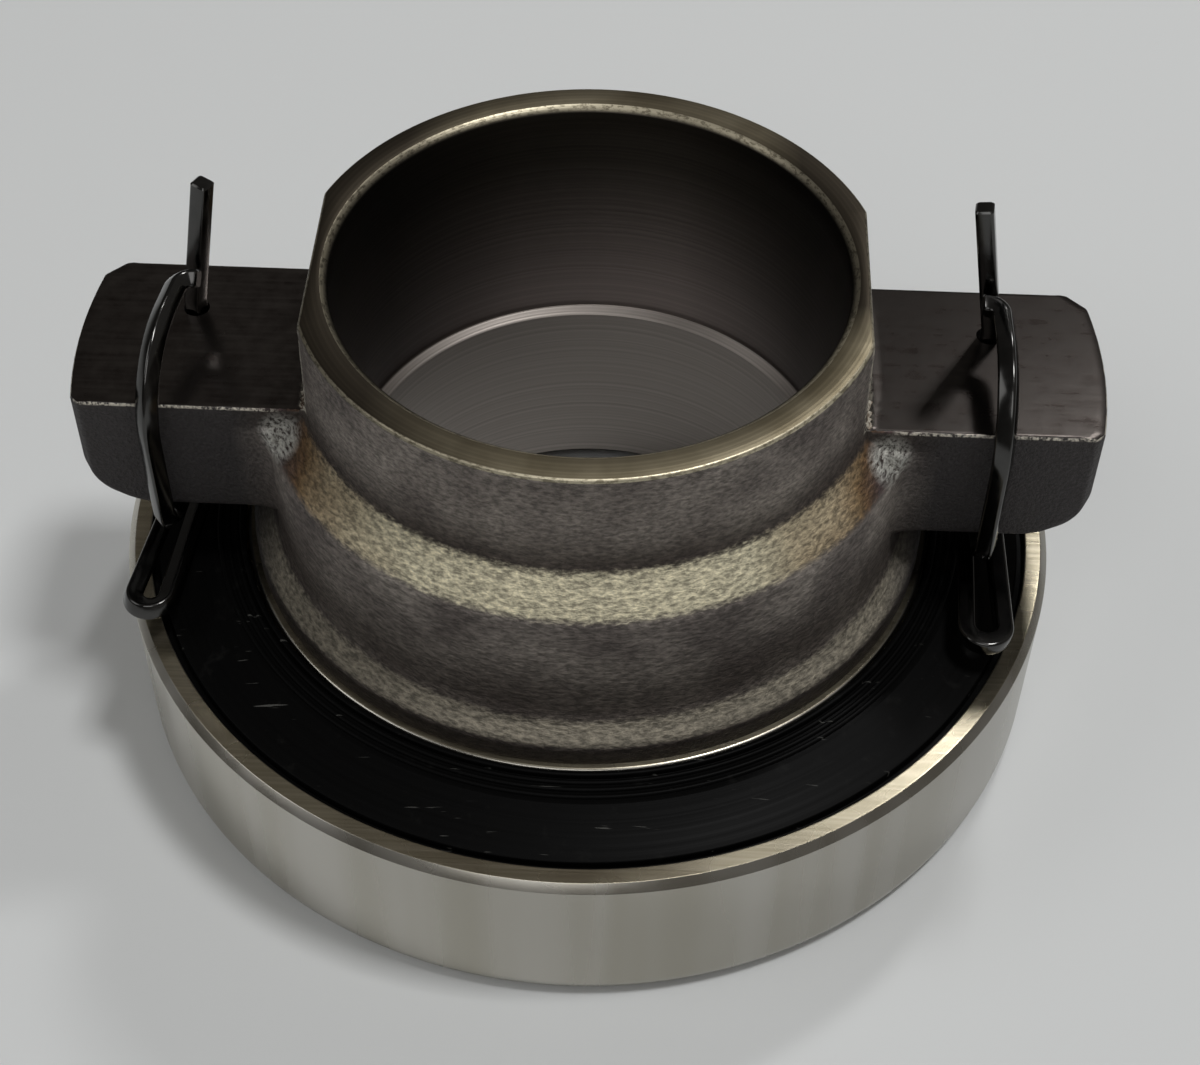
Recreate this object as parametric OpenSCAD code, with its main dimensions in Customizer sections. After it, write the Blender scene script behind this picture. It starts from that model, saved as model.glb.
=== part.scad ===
// Clutch release bearing: a cast hub that slides on a guide sleeve, a sealed ball
// bearing on its lower end, and a spring wire clip round each of its two fork lugs.
// Millimetres, +Z up. The origin is on the bore axis, in the plane of the contact
// face that presses on the clutch. The lugs point along +X and -X.

/* [Bore] */
// Diameter of the bore that slides on the guide sleeve
bore_d = 44.5; // [42:0.1:46]
// Radial step from the guide bore out to the wider upper bore
relief_step = 0.95; // [0.5:0.05:1.5]
// Height of the step in the bore above the bearing seat
ledge_rise = 4.2; // [2:0.1:8]
// Chamfer at the lower mouth of the bore
bore_chamfer = 0.8; // [0.3:0.1:1.2]

/* [Hub] */
// Height of the rim above the bearing seat
hub_rise = 29.7; // [27:0.1:34]
// Wall of the neck at the rim
neck_wall = 3.2; // [2.5:0.1:4]
// How much wider the neck is at its foot than at its rim, on the radius
neck_taper = 0.3; // [0.1:0.05:0.6]
// Distance across the two flats of the neck
flat_across = 49.6; // [48.6:0.1:50.6]
// Height of the collar's shoulder edge above the bearing seat
shoulder_rise = 16.1; // [14:0.1:17]
// Width of the sloping shoulder between neck and collar
shoulder_w = 3.5; // [2.5:0.1:4.5]
// Tilt of the shoulder's surface from upright, as the angle of its normal
shoulder_tilt = 47; // [38:1:54]
// Rounding of the shoulder's edge
shoulder_round = 0.9; // [0.4:0.1:1.4]
// Fillet between the shoulder and the neck
neck_fillet = 1.5; // [0.6:0.1:2.2]
// How far the flange at the foot stands out from the collar
flange_w = 2.3; // [1.8:0.1:2.6]
// Thickness of the flange at its edge
flange_t = 2.5; // [2:0.1:3.2]
// Rounding of the flange's upper edge
flange_round = 0.9; // [0.5:0.1:1.3]
// Fillet between the flange and the collar
foot_fillet = 2.6; // [1.8:0.1:3.2]
// Tilt of the flare between them from upright, as the angle of its normal
flare_tilt = 65; // [55:1:75]
// Wall of the spigot that carries the inner ring
spigot_wall = 5.25; // [4.5:0.05:5.6]
// Small chamfer on machined edges
edge = 0.4; // [0.2:0.05:0.6]

/* [Lugs] */
// Distance over the tips of the two lugs
lug_span = 94; // [91:0.5:100]
// Width of a lug
lug_w = 19.4; // [17:0.1:22]
// Height of a lug
lug_h = 13; // [11.5:0.1:14]
// Height of the lugs' top faces above the bearing seat
lug_rise = 20; // [19:0.1:22]
// Rounding of the lower edge at a lug's tip
lug_tip_round = 7; // [3:0.1:8]
// Chamfer of the back corner at a lug's tip
lug_corner_back = 1.9; // [0.8:0.1:3]
// Chamfer of the front corner at a lug's tip
lug_corner_front = 0.8; // [0.4:0.1:2]
// Fillet between a lug's top face and the neck's flat
lug_top_fillet = 1.1; // [0.5:0.1:2]
// Fillet between a lug's side and the collar
lug_root_fillet = 2.4; // [1:0.1:4]
// How far the root fillets rise above the shoulder's edge
lug_root_rise = 1.6; // [0.5:0.1:2.5]

/* [Bearing] */
// Outer diameter of the outer ring
ring_d = 90; // [88:0.5:94]
// Height of the outer ring
ring_h = 17; // [16.6:0.1:18]
// Rounding of the outer ring's lower edge
ring_round = 2; // [1:0.1:3]
// Chamfer of the outer ring's upper edge
ring_chamfer = 0.7; // [0.4:0.1:1]
// Width of the outer ring's top face, from the mouth to the outside
ring_rim = 2.2; // [1.6:0.1:2.8]
// Radial gap between the spigot and the contact flange, which the lower seal fills
contact_gap = 3.5; // [2.5:0.1:5]
// Thickness of the contact flange
contact_t = 2.6; // [2.2:0.1:3]
// Diameter of a ball
ball_d = 8.731; // [8:0.001:9.2]
// Number of balls
ball_count = 15; // [13:1:16]
// Depth of the raceways
race_depth = 1.45; // [1.1:0.05:1.7]
// Radius of a raceway as a share of the ball's diameter
race_conformity = 0.53; // [0.51:0.005:0.55]
// Running gap between a ball and each raceway
race_gap = 0.06; // [0.03:0.01:0.1]
// How far the inner ring stands above the outer ring
inner_proud = 1; // [0.6:0.1:1.6]
// How far the spigot stands out below the inner ring
spigot_proud = 2; // [1.4:0.1:2.6]
// How far the hub ends above the contact face
hub_lift = 1.6; // [1.2:0.1:1.8]

/* [Cage] */
// Radial thickness of the cage
cage_t = 3; // [2.4:0.1:3.4]
// Thickness of the cage's back above the pockets
cage_back = 1.2; // [0.9:0.1:1.3]
// How far the cage's prongs reach below the ball centres
cage_grip = 0.9; // [0.6:0.1:1.4]
// Room between the cage's back and the upper seal
cage_room = 0.8; // [0.5:0.1:1.1]
// Gap between a ball and its pocket
pocket_gap = 0.2; // [0.1:0.05:0.25]

/* [Seals] */
// Depth of the upper seal's seat in the outer ring
seal_depth = 2.4; // [2.2:0.1:2.6]
// Gap between a seal's rim and its seat
seat_gap = 0.05; // [0.03:0.01:0.1]
// Gap between a seal's lip and the surface that it runs on
lip_gap = 0.3; // [0.25:0.05:0.5]
// Width of the groove at the upper seal's rim
seal_groove_w = 0.7; // [0.4:0.1:1]
// Depth of that groove
seal_groove_t = 0.8; // [0.4:0.1:1]
// How far the seal's flat lies below the ring's top face at its outer edge
seal_dip = 0.25; // [0.1:0.05:0.5]
// How far the seal's ridged band lies above the ring's top face
seal_dome = 0.95; // [0.5:0.05:1.2]
// Radius of a ridge on the upper seal
ridge_r = 0.26; // [0.15:0.01:0.32]
// Number of ridges
ridge_count = 3; // [2:1:4]
// Distance between ridges
ridge_pitch = 0.76; // [0.7:0.01:0.9]
// Width of the raised lip at the seal's inner edge
lip_w = 0.55; // [0.4:0.05:0.7]
// Height of that lip above the ridged band
lip_h = 0.6; // [0.3:0.05:0.8]
// Depth of the lip's inner side
lip_depth = 1.4; // [1:0.1:1.6]
// Thickness of the upper seal's web over the cage
seal_web = 2; // [1.7:0.1:2.1]
// Thickness of the lower seal
low_seal_t = 1.3; // [1:0.1:1.4]
// Height of the lower seal's underside above the contact face
low_seal_z = 0.9; // [0.7:0.1:1.1]
// Depth of the lower seal's groove in the contact flange
low_seal_groove = 0.6; // [0.4:0.1:0.9]

/* [Clips] */
// Side of the square spring wire
wire_w = 1.65; // [1.2:0.05:1.8]
// Chamfer of the wire's edges
wire_edge = 0.25; // [0.1:0.05:0.4]
// Turn of the right clip's wire about its own path
right_roll = 8; // [0:1:89]
// Turn of the left clip's wire about its own path
left_roll = 72; // [0:1:89]
// How far the left clip is swivelled outwards about its leg
left_swivel = 7; // [0:1:12]
// Gap between the wire's corners and its hole in the lug
wire_gap = 0.2; // [0.1:0.05:0.3]
// Gap between the hub's flange and the clip's lower hook
hook_gap = 2; // [1.5:0.1:3]
// Distance of the clip holes behind the lug's middle
clip_y = 3.5; // [2.5:0.1:5]
// Height of the upright leg above the lug
leg_rise = 15; // [12:0.5:18]
// How far the leg's top leans towards the neck
leg_lean = 2.5; // [1:0.1:3.5]
// Height of the arch's wire above the lug's top face
arch_rise = 5.6; // [5.4:0.1:7]
// Bend radius of the arch
arch_bend = 8.5; // [7:0.1:8.8]
// Gap between the wire and the lug's front face
front_gap = 0.9; // [0.7:0.1:1.5]
// Gap between the wire and the lug's underside
under_gap = 0.35; // [0.3:0.05:0.6]
// How far the lower hook reaches in front of the lug
hook_reach = 9.1; // [7:0.1:10]
// Distance between the two strands of the lower hook
hook_w = 3.5; // [3:0.1:4]
// Depth of the lower hook's strands below the lug
hook_drop = 4.6; // [4.3:0.1:5]
// How far the hook's inner strand lies inside the clip hole
hook_shift = 1.3; // [0.8:0.1:1.8]
// How far the arch lies outside the clip hole
arch_shift = 0.2; // [0:0.1:0.6]
// How far the wire's end goes on after its last bend
end_reach = 0.2; // [0.1:0.1:1.5]
// Gap between the leg and the wire's fold under the lug
fold_gap = 1.2; // [0.8:0.1:2]
// Bend radius at the wire's end
end_bend = 1.6; // [1.2:0.1:2]
// Bend radius of the wire elsewhere
wire_bend = 2.4; // [1.8:0.1:2.6]

/* [Hidden] */
$fn = 96;
ARC_STEPS = 6;
BEND_STEPS = 7;
CUT_MARGIN = 1;
// Share of the half spacing that a hairpin bend's radius takes
HAIRPIN = 0.98;

bore_r = bore_d / 2;
relief_r = bore_r + relief_step;
neck_r = relief_r + neck_wall;
neck_foot_r = neck_r + neck_taper;
collar_r = neck_foot_r + shoulder_w;
flange_r = collar_r + flange_w;
seat_r = bore_r + spigot_wall;
ring_r = ring_d / 2;
mouth_r = ring_r - ring_rim;
contact_r = seat_r + contact_gap;

ball_r = ball_d / 2;
pitch_r = (seat_r + ring_r) / 2;
race_r = ball_d * race_conformity;
inner_race_r = pitch_r - ball_r - race_gap;
outer_race_r = pitch_r + ball_r + race_gap;
inner_land_r = inner_race_r + race_depth;
outer_land_r = outer_race_r - race_depth;
race_angle = acos((race_r - race_depth) / race_r);
seat_z = ring_h + inner_proud;
shelf_z = ring_h - seal_depth;
band_z = ring_h + seal_dome;
web_z = band_z - seal_web;
pocket_r = ball_r + pocket_gap;
ball_z = web_z - cage_room - cage_back - pocket_r;
ledge_z = seat_z + ledge_rise;
rim_z = seat_z + hub_rise;
shoulder_z = seat_z + shoulder_rise;
neck_foot_z = shoulder_z + shoulder_w / tan(shoulder_tilt);
lug_top_z = seat_z + lug_rise;
lug_low_z = lug_top_z - lug_h;
lug_tip = lug_span / 2;
flat_x = flat_across / 2;

wire_r = wire_w / 2;
wire_reach = norm([wire_r, wire_r - wire_edge]);
hook_x = flange_r + hook_gap + wire_reach;
clip_x = hook_x + hook_shift;
clip_hole_d = 2 * (wire_reach + wire_gap);

ball_names = [for (i = [1 : ball_count]) str("ball_", i < 10 ? "0" : "", i)];

// Points on an arc about (cx, cz), from angle a to angle b
function arc(cx, cz, r, a, b, steps = ARC_STEPS) =
    [for (i = [0 : steps]) let (t = a + (b - a) * i / steps) [cx + r * cos(t), cz + r * sin(t)]];

function unit(v) = v / norm(v);

// Points of the bend that replaces corner b of the path a, b, c
function bend(a, b, c, r, steps = BEND_STEPS) =
    let (
        u = unit(a - b),
        v = unit(c - b),
        half = acos(u * v) / 2,
        centre = b + unit(u + v) * r / sin(half),
        e1 = unit(b + u * r / tan(half) - centre),
        w = b + v * r / tan(half) - centre,
        e2 = unit(w - (w * e1) * e1),
        turn = 180 - 2 * half
    )
    [for (i = [0 : steps]) centre + r * (cos(turn * i / steps) * e1 + sin(turn * i / steps) * e2)];

// A path with each inner corner bent at its own radius
function bent_path(corners, radii) =
    concat(
        [corners[0]],
        [for (i = [1 : len(corners) - 2])
            each bend(corners[i - 1], corners[i], corners[i + 1], radii[i - 1])],
        [corners[len(corners) - 1]]
    );

// Direction of a path at each of its points
function directions(path) =
    let (last = len(path) - 1)
    [for (i = [0 : last]) unit(path[min(i + 1, last)] - path[max(i - 1, 0)])];

// Normals carried along a path without twist
function carried(dirs, first) =
    [for (
        i = 0, n = unit(first - (first * dirs[0]) * dirs[0]);
        i < len(dirs);
        i = i + 1, d = dirs[min(i, len(dirs) - 1)], n = unit(n - (n * d) * d)
    ) n];

// Corners of the square wire's section, with its edges chamfered, turned by roll
function wire_section(roll) =
    let (a = wire_r, b = wire_r - wire_edge)
    [for (p = [[a, b], [b, a], [-b, a], [-a, b], [-a, -b], [-b, -a], [b, -a], [a, -b]])
        [p.x * cos(roll) - p.y * sin(roll), p.x * sin(roll) + p.y * cos(roll)]];

// A wire of that section along a path
module wire(path, section) {
    dirs = directions(path);
    normals = carried(dirs, [0, 1, 0]);
    last = len(path) - 1;
    sides = len(section);
    points = [
        for (i = [0 : last])
            let (side = cross(dirs[i], normals[i]))
            for (p = section)
                path[i] + p.x * normals[i] + p.y * side
    ];
    walls = [
        for (i = [0 : last - 1])
            for (k = [0 : sides - 1])
                let (n = (k + 1) % sides, a = i * sides, b = a + sides)
                each [[a + k, b + k, b + n], [a + k, b + n, a + n]]
    ];
    start_cap = [for (k = [0 : sides - 1]) k];
    end_cap = [for (k = [sides - 1 : -1 : 0]) last * sides + k];
    polyhedron(points = points, faces = concat([start_cap], walls, [end_cap]));
}

// Outline of the hub's turned body, from the bore's lower mouth round to the rim
function hub_outline() =
    let (
        round_z = seat_z + flange_t - flange_round,
        foot_r = min(foot_fillet, flange_w / (1 - cos(flare_tilt)) - flange_round),
        flare_w = flange_w - (flange_round + foot_r) * (1 - cos(flare_tilt)),
        foot_z = round_z + (flange_round + foot_r) * sin(flare_tilt) + flare_w / tan(flare_tilt),
        edge_z = shoulder_z - shoulder_round * tan(shoulder_tilt / 2),
        fillet_z = neck_foot_z + neck_fillet * tan(shoulder_tilt / 2)
    )
    concat(
        [
            [bore_r + bore_chamfer, hub_lift],
            [seat_r - edge, hub_lift],
            [seat_r, hub_lift + edge],
            [seat_r, seat_z],
            [flange_r, seat_z]
        ],
        arc(flange_r - flange_round, round_z, flange_round, 0, flare_tilt),
        arc(collar_r + foot_r, foot_z, foot_r, 180 + flare_tilt, 180),
        arc(collar_r - shoulder_round, edge_z, shoulder_round, 0, shoulder_tilt),
        arc(neck_foot_r + neck_fillet, fillet_z, neck_fillet, 180 + shoulder_tilt, 180),
        [
            [neck_r, rim_z - edge],
            [neck_r - edge, rim_z],
            [relief_r + edge, rim_z],
            [relief_r, rim_z - edge],
            [relief_r, ledge_z + relief_step / 2],
            [bore_r, ledge_z],
            [bore_r, hub_lift + bore_chamfer]
        ]
    );

// One fork lug, along +X, cut from the side view and the top view
module lug() {
    root = relief_r + edge;
    side = concat(
        [[root, lug_low_z]],
        arc(lug_tip - lug_tip_round, lug_low_z + lug_tip_round, lug_tip_round, -90, 0),
        [[lug_tip, lug_top_z]],
        arc(flat_x + lug_top_fillet, lug_top_z + lug_top_fillet, lug_top_fillet, 270, 180),
        [[root, lug_top_z + lug_top_fillet]]
    );
    half = lug_w / 2;
    front_turn = asin((half - lug_corner_front) / lug_tip);
    back_turn = asin((half - lug_corner_back) / lug_tip);
    top = concat(
        [[root, -half], [lug_tip * cos(front_turn) - lug_corner_front, -half]],
        arc(0, 0, lug_tip, -front_turn, back_turn),
        [[lug_tip * cos(back_turn) - lug_corner_back, half], [root, half]]
    );
    intersection() {
        rotate([90, 0, 0])
            linear_extrude(lug_w + 2 * CUT_MARGIN, center = true)
                polygon(side);
        translate([0, 0, lug_low_z - CUT_MARGIN])
            linear_extrude(lug_h + lug_top_fillet + 2 * CUT_MARGIN)
                polygon(top);
    }
    lug_root();
    mirror([0, 1, 0]) lug_root();
}

// Fillet in the corner between a lug's side and the collar
module lug_root() {
    half = lug_w / 2;
    reach = collar_r + lug_root_fillet;
    centre_y = half + lug_root_fillet;
    centre_x = sqrt(reach * reach - centre_y * centre_y);
    turn = asin(centre_y / reach);
    translate([0, 0, lug_low_z])
        linear_extrude(shoulder_z + lug_root_rise - lug_low_z)
            polygon(concat(
                arc(centre_x, centre_y, lug_root_fillet, 270, 180 + turn),
                [[neck_r * cos(turn), neck_r * sin(turn)], [neck_r, half - edge], [centre_x, half - edge]]
            ));
}

// The cast hub: turned body, milled flats, lugs and clip holes
module hub() {
    color("dimgray")
        difference() {
            union() {
                difference() {
                    rotate_extrude() polygon(hub_outline());
                    for (s = [-1, 1])
                        translate([s * (flat_x + lug_tip / 2), 0, lug_top_z + hub_rise / 2])
                            cube([lug_tip, lug_span, hub_rise], center = true);
                }
                lug();
                mirror([1, 0, 0]) lug();
            }
            for (s = [-1, 1])
                translate([s * clip_x, clip_y, lug_low_z - CUT_MARGIN])
                    cylinder(d = clip_hole_d, h = lug_h + 2 * CUT_MARGIN);
        }
}

// The inner ring, pressed on the spigot up to the flange
module inner_ring() {
    low_z = hub_lift + spigot_proud;
    inside = seat_r + seat_gap / 2;
    groove_x = inner_race_r + race_r;
    color("silver")
        rotate_extrude()
            polygon(concat(
                [
                    [inside, low_z + edge],
                    [inside + edge, low_z],
                    [inner_land_r - edge, low_z],
                    [inner_land_r, low_z + edge]
                ],
                arc(groove_x, ball_z, race_r, 180 + race_angle, 180 - race_angle, 2 * ARC_STEPS),
                [
                    [inner_land_r, seat_z - edge],
                    [inner_land_r - edge, seat_z],
                    [inside, seat_z]
                ]
            ));
}

// The outer ring with its raceway, the seal's seat and the contact flange
module outer_ring() {
    inner_round = contact_t / 2;
    color("gainsboro")
        rotate_extrude()
            difference() {
                polygon(concat(
                    arc(contact_r + inner_round, inner_round, inner_round, 180, 270),
                    arc(ring_r - ring_round, ring_round, ring_round, -90, 0),
                    [
                        [ring_r, ring_h - ring_chamfer],
                        [ring_r - ring_chamfer, ring_h],
                        [mouth_r, ring_h],
                        [mouth_r, shelf_z],
                        [outer_land_r, shelf_z]
                    ],
                    arc(outer_race_r - race_r, ball_z, race_r, race_angle, -race_angle, 2 * ARC_STEPS),
                    [[outer_land_r, contact_t], [contact_r, contact_t]]
                ));
                translate([contact_r, low_seal_z + low_seal_t / 2])
                    square([2 * low_seal_groove, low_seal_t + 2 * seat_gap], center = true);
            }
}

// The upper seal: rubber on a steel disc, with ridges and a lip at its inner edge
module seal_upper() {
    rim_r = mouth_r - seat_gap;
    lip_r = max(inner_land_r, flange_r) + lip_gap;
    ridges_in = lip_r + lip_w + ridge_pitch / 2;
    ridges_out = ridges_in + ridge_count * ridge_pitch;
    rest_r = outer_land_r + edge;
    color("black")
        rotate_extrude()
            polygon(concat(
                [
                    [rim_r, shelf_z],
                    [rim_r, ring_h - seal_dip - seal_groove_t],
                    [rim_r - seal_groove_w, ring_h - seal_dip - seal_groove_t],
                    [rim_r - seal_groove_w, ring_h - seal_dip],
                    [ridges_out, band_z]
                ],
                [for (i = [ridge_count - 1 : -1 : 0])
                    each arc(ridges_in + i * ridge_pitch, band_z, ridge_r, 0, 180)],
                [
                    [lip_r + lip_w, band_z],
                    [lip_r + lip_w, band_z + lip_h / 2]
                ],
                arc(lip_r + lip_w / 2, band_z + lip_h - lip_w / 2, lip_w / 2, 0, 180),
                [
                    [lip_r, band_z + lip_h - lip_depth],
                    [lip_r + lip_w + ridge_pitch, web_z],
                    [rest_r - edge, web_z],
                    [rest_r, shelf_z]
                ]
            ));
}

// The lower seal: a flat rubber ring in the bore of the contact flange
module seal_lower() {
    lip_r = seat_r + lip_gap;
    rim_r = contact_r + low_seal_groove - seat_gap;
    color("black")
        rotate_extrude()
            polygon([
                [lip_r, low_seal_z + low_seal_t / 2],
                [lip_r + low_seal_t / 2, low_seal_z],
                [rim_r, low_seal_z],
                [rim_r, low_seal_z + low_seal_t],
                [lip_r, low_seal_z + low_seal_t]
            ]);
}

module at_ball(i) {
    rotate([0, 0, 360 * i / ball_count])
        translate([pitch_r, 0, ball_z])
            children();
}

// The one-piece snap cage, open below, with a round pocket for each ball
module cage() {
    color("wheat")
        difference() {
            rotate_extrude()
                translate([pitch_r - cage_t / 2, ball_z - cage_grip])
                    square([cage_t, cage_grip + pocket_r + cage_back]);
            for (i = [1 : ball_count])
                at_ball(i) sphere(r = pocket_r);
        }
}

module ball(i) {
    color("white")
        at_ball(i) sphere(d = ball_d);
}

// Corners of the right clip's wire, from the top of the leg to the free end
function clip_corners() =
    let (
        front_y = -(lug_w / 2 + front_gap + wire_reach),
        tip_y = -(lug_w / 2 + hook_reach),
        under_y = clip_y - 2 * wire_reach - fold_gap,
        hook_z = lug_low_z - hook_drop,
        under_z = lug_low_z - under_gap - wire_reach,
        arch_z = lug_top_z + arch_rise,
        leg_foot_z = lug_top_z + wire_reach,
        leg_top_z = lug_top_z + leg_rise,
        outer_x = hook_x + hook_w,
        arch_x = clip_x + arch_shift,
        end_y = clip_y - 2 * wire_reach - wire_gap
    )
    [
        [clip_x - leg_lean, clip_y, leg_top_z],
        [clip_x, clip_y, leg_foot_z],
        [clip_x, clip_y, hook_z],
        [hook_x, tip_y, hook_z],
        [outer_x, tip_y, hook_z],
        [outer_x, under_y, hook_z],
        [arch_x, under_y, under_z],
        [arch_x, front_y, under_z],
        [arch_x, front_y, arch_z],
        [arch_x, end_y, arch_z],
        [arch_x - end_bend - end_reach, end_y, arch_z]
    ];

// One clip, shaped as the right one, its wire turned by roll about its path
module clip_wire(roll) {
    corners = clip_corners();
    hairpin = HAIRPIN * hook_w / 2;
    fold = HAIRPIN * norm(corners[6] - corners[5]) / 2;
    radii = [2 * wire_bend, wire_bend, hairpin, hairpin, fold, fold, wire_bend, arch_bend, end_bend];
    wire(bent_path(corners, radii), wire_section(roll));
}

module clip_right() {
    color("darkslategray")
        clip_wire(right_roll);
}

module clip_left() {
    color("darkslategray")
        mirror([1, 0, 0])
            translate([clip_x, clip_y, 0])
                rotate([0, 0, left_swivel])
                    translate([-clip_x, -clip_y, 0])
                        clip_wire(left_roll);
}

hub();
inner_ring();
outer_ring();
seal_upper();
seal_lower();
cage();
clip_left();
clip_right();
for (i = [1 : ball_count])
    ball(i);
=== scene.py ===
# %% [markdown]
# # A clutch release bearing
# A cast hub slides on a guide sleeve and carries a sealed ball bearing at its foot. A fork grips the two
# lugs of the hub, each with a clip of square spring wire, and pushes the bearing's contact face onto the
# clutch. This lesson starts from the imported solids, which fix every size and place, and dresses them: turned
# and cast surfaces are worked out again as smooth grids with rounded edges, and every surface gets its
# finish.

# %% Load the frame
import math

import bpy
import numpy as np
from mathutils import Matrix, Vector


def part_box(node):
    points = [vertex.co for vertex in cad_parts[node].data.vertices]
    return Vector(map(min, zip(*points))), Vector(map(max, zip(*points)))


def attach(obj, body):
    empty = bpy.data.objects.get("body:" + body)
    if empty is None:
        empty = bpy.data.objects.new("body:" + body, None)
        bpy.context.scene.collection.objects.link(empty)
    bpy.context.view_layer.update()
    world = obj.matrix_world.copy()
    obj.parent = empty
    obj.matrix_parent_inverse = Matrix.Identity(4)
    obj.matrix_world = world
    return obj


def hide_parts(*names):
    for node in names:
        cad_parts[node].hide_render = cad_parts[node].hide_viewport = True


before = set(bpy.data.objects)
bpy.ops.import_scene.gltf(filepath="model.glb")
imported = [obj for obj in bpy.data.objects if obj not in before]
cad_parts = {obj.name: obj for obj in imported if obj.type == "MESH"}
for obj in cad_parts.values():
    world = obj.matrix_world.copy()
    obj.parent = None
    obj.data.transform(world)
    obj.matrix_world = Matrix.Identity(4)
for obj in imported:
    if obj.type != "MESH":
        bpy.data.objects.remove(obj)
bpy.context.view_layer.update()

MM = 0.001

# %% [markdown]
# ## Camera
# The photograph looks down at about 50 degrees from close by, so the near edge of the ring looks much larger
# than the far one. A long lens from far away would lose that, so the camera keeps the photograph's own
# distance: its place, its aim and a slight roll, in millimetres and degrees of the part's own frame.

# %% Make the camera
SENSOR_MM = 36.0
IMAGE_WIDTH_PX = 1200.0
FOCAL_PX = 2150.0
CAMERA_AT = Vector((6.35, -145.74, 171.71))
CAMERA_AIM = Vector((1.39, -6.49, 20.0))
CAMERA_ROLL = math.radians(0.69)

camera = bpy.data.objects.new("camera", bpy.data.cameras.new("camera"))
bpy.context.scene.collection.objects.link(camera)
bpy.context.scene.camera = camera
camera.data.sensor_width = SENSOR_MM
camera.data.lens = FOCAL_PX / IMAGE_WIDTH_PX * SENSOR_MM
camera.data.clip_start = 10 * MM
level_view = (CAMERA_AIM - CAMERA_AT).to_track_quat("-Z", "Y").to_matrix().to_4x4()
camera.matrix_world = Matrix.Translation(CAMERA_AT * MM) @ level_view @ Matrix.Rotation(CAMERA_ROLL, 4, "Z")
print("lens in mm:", round(camera.data.lens, 1))

# %% [markdown]
# ## From a grid of points to a mesh
# Every new piece here is a grid: one direction runs round the axis or round a wire, the other along an
# outline or along the wire. Blender could spin or sweep such outlines with modifiers, but whole numpy arrays
# keep each formula in sight, and let an outline change as it goes round, which the hub's lugs need.

# %% Grid to mesh
SHARP_ANGLE = math.radians(38)


def grid_piece(name, points, close_along=True):
    """Joins a grid of points (round, along, xyz), in mm, into quads. The first direction always closes on
    itself; the second closes too, unless close_along is False, when each open end gets one flat face."""
    rounds, alongs = points.shape[:2]
    number = np.arange(rounds * alongs).reshape(rounds, alongs)
    beside = np.roll(number, -1, axis=0)
    ends = []
    if close_along:
        quads = np.stack([number, beside, np.roll(beside, -1, 1), np.roll(number, -1, 1)], axis=-1)
    else:
        quads = np.stack([number[:, :-1], beside[:, :-1], beside[:, 1:], number[:, 1:]], axis=-1)
        ends = [number[::-1, 0], number[:, -1]]
    faces = quads.reshape(-1, 4)
    places = points.reshape(-1, 3)
    a, b, c, d = np.moveaxis(places[faces], 1, 0)
    volume = (a * (np.cross(b, c) + np.cross(c, d))).sum()
    turn = 1 if volume > 0 else -1
    mesh = bpy.data.meshes.new(name)
    mesh.from_pydata(places * MM, [], faces[:, ::turn].tolist() + [end[::turn].tolist() for end in ends])
    mesh.shade_smooth()
    mesh.set_sharp_from_angle(angle=SHARP_ANGLE)
    piece = bpy.data.objects.new(name, mesh)
    bpy.context.scene.collection.objects.link(piece)
    print(name, "faces:", len(mesh.polygons))
    return piece


def arc(across, up, radius, start, stop, steps=8):
    """Points on an arc about (across, up), from the angle start to the angle stop, in degrees."""
    t = np.radians(np.linspace(start, stop, steps + 1))
    return np.stack([across + radius * np.cos(t), up + radius * np.sin(t)], axis=-1)


def plain(points):
    """Points as corners that stay sharp: each gets the rounding radius 0."""
    return np.column_stack([points, np.zeros(len(points))])


def rounded(corners, steps=5):
    """Rounds a closed outline's corners, each given as (across, up, radius): a corner gives way to the arc
    that touches both its sides, whose centre lies on their bisector, radius / sin(half angle) away."""
    at, radius = corners[:, :2], np.maximum(corners[:, 2:], 1e-4)
    back = np.roll(at, 1, 0) - at
    ahead = np.roll(at, -1, 0) - at
    back /= np.linalg.norm(back, axis=1, keepdims=True)
    ahead /= np.linalg.norm(ahead, axis=1, keepdims=True)
    half = np.arccos(np.clip((back * ahead).sum(1, keepdims=True), -1, 1)) / 2
    middle = back + ahead
    centre = at + middle / np.linalg.norm(middle, axis=1, keepdims=True) * radius / np.sin(half)
    start = at + back * radius / np.tan(half) - centre
    stop = at + ahead * radius / np.tan(half) - centre
    t = np.linspace(0, 1, steps + 1)[None, :, None]
    turn = (np.pi - 2 * half)[:, None, :]
    swing = (np.sin((1 - t) * turn) * start[:, None] + np.sin(t * turn) * stop[:, None]) / np.sin(turn)
    points = (centre[:, None] + swing).reshape(-1, 2)
    return points[np.linalg.norm(points - np.roll(points, 1, 0), axis=1) > 0.002]


def turned(name, outline, columns=400):
    """Carries a closed outline (radius, height), in mm, round the bore axis:
    x = radius cos t, y = radius sin t, z = height."""
    t = np.linspace(0, 2 * np.pi, columns, endpoint=False)[:, None]
    radius, height = outline.T
    return grid_piece(name, np.stack([radius * np.cos(t), radius * np.sin(t), height + 0 * t], axis=-1))


def mounted(piece, node, body):
    """Lets a new piece stand for a solid: it hides the solid and rides that solid's body."""
    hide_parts(node)
    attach(piece, body)


# %% [markdown]
# ## The bearing's sizes
# The outer ring, the seals and the inner ring are all turned, so one outline in radius and height describes
# each. The main sizes are read from the solids' boxes, and the rest follow the bearing's own drawing.

# %% Read the main sizes


def reach(node, axis, end):
    """One side of a solid's box, in mm: axis 0, 1, 2 for x, y, z, and end 0 for low, 1 for high."""
    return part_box(node)[end][axis] / MM


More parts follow.
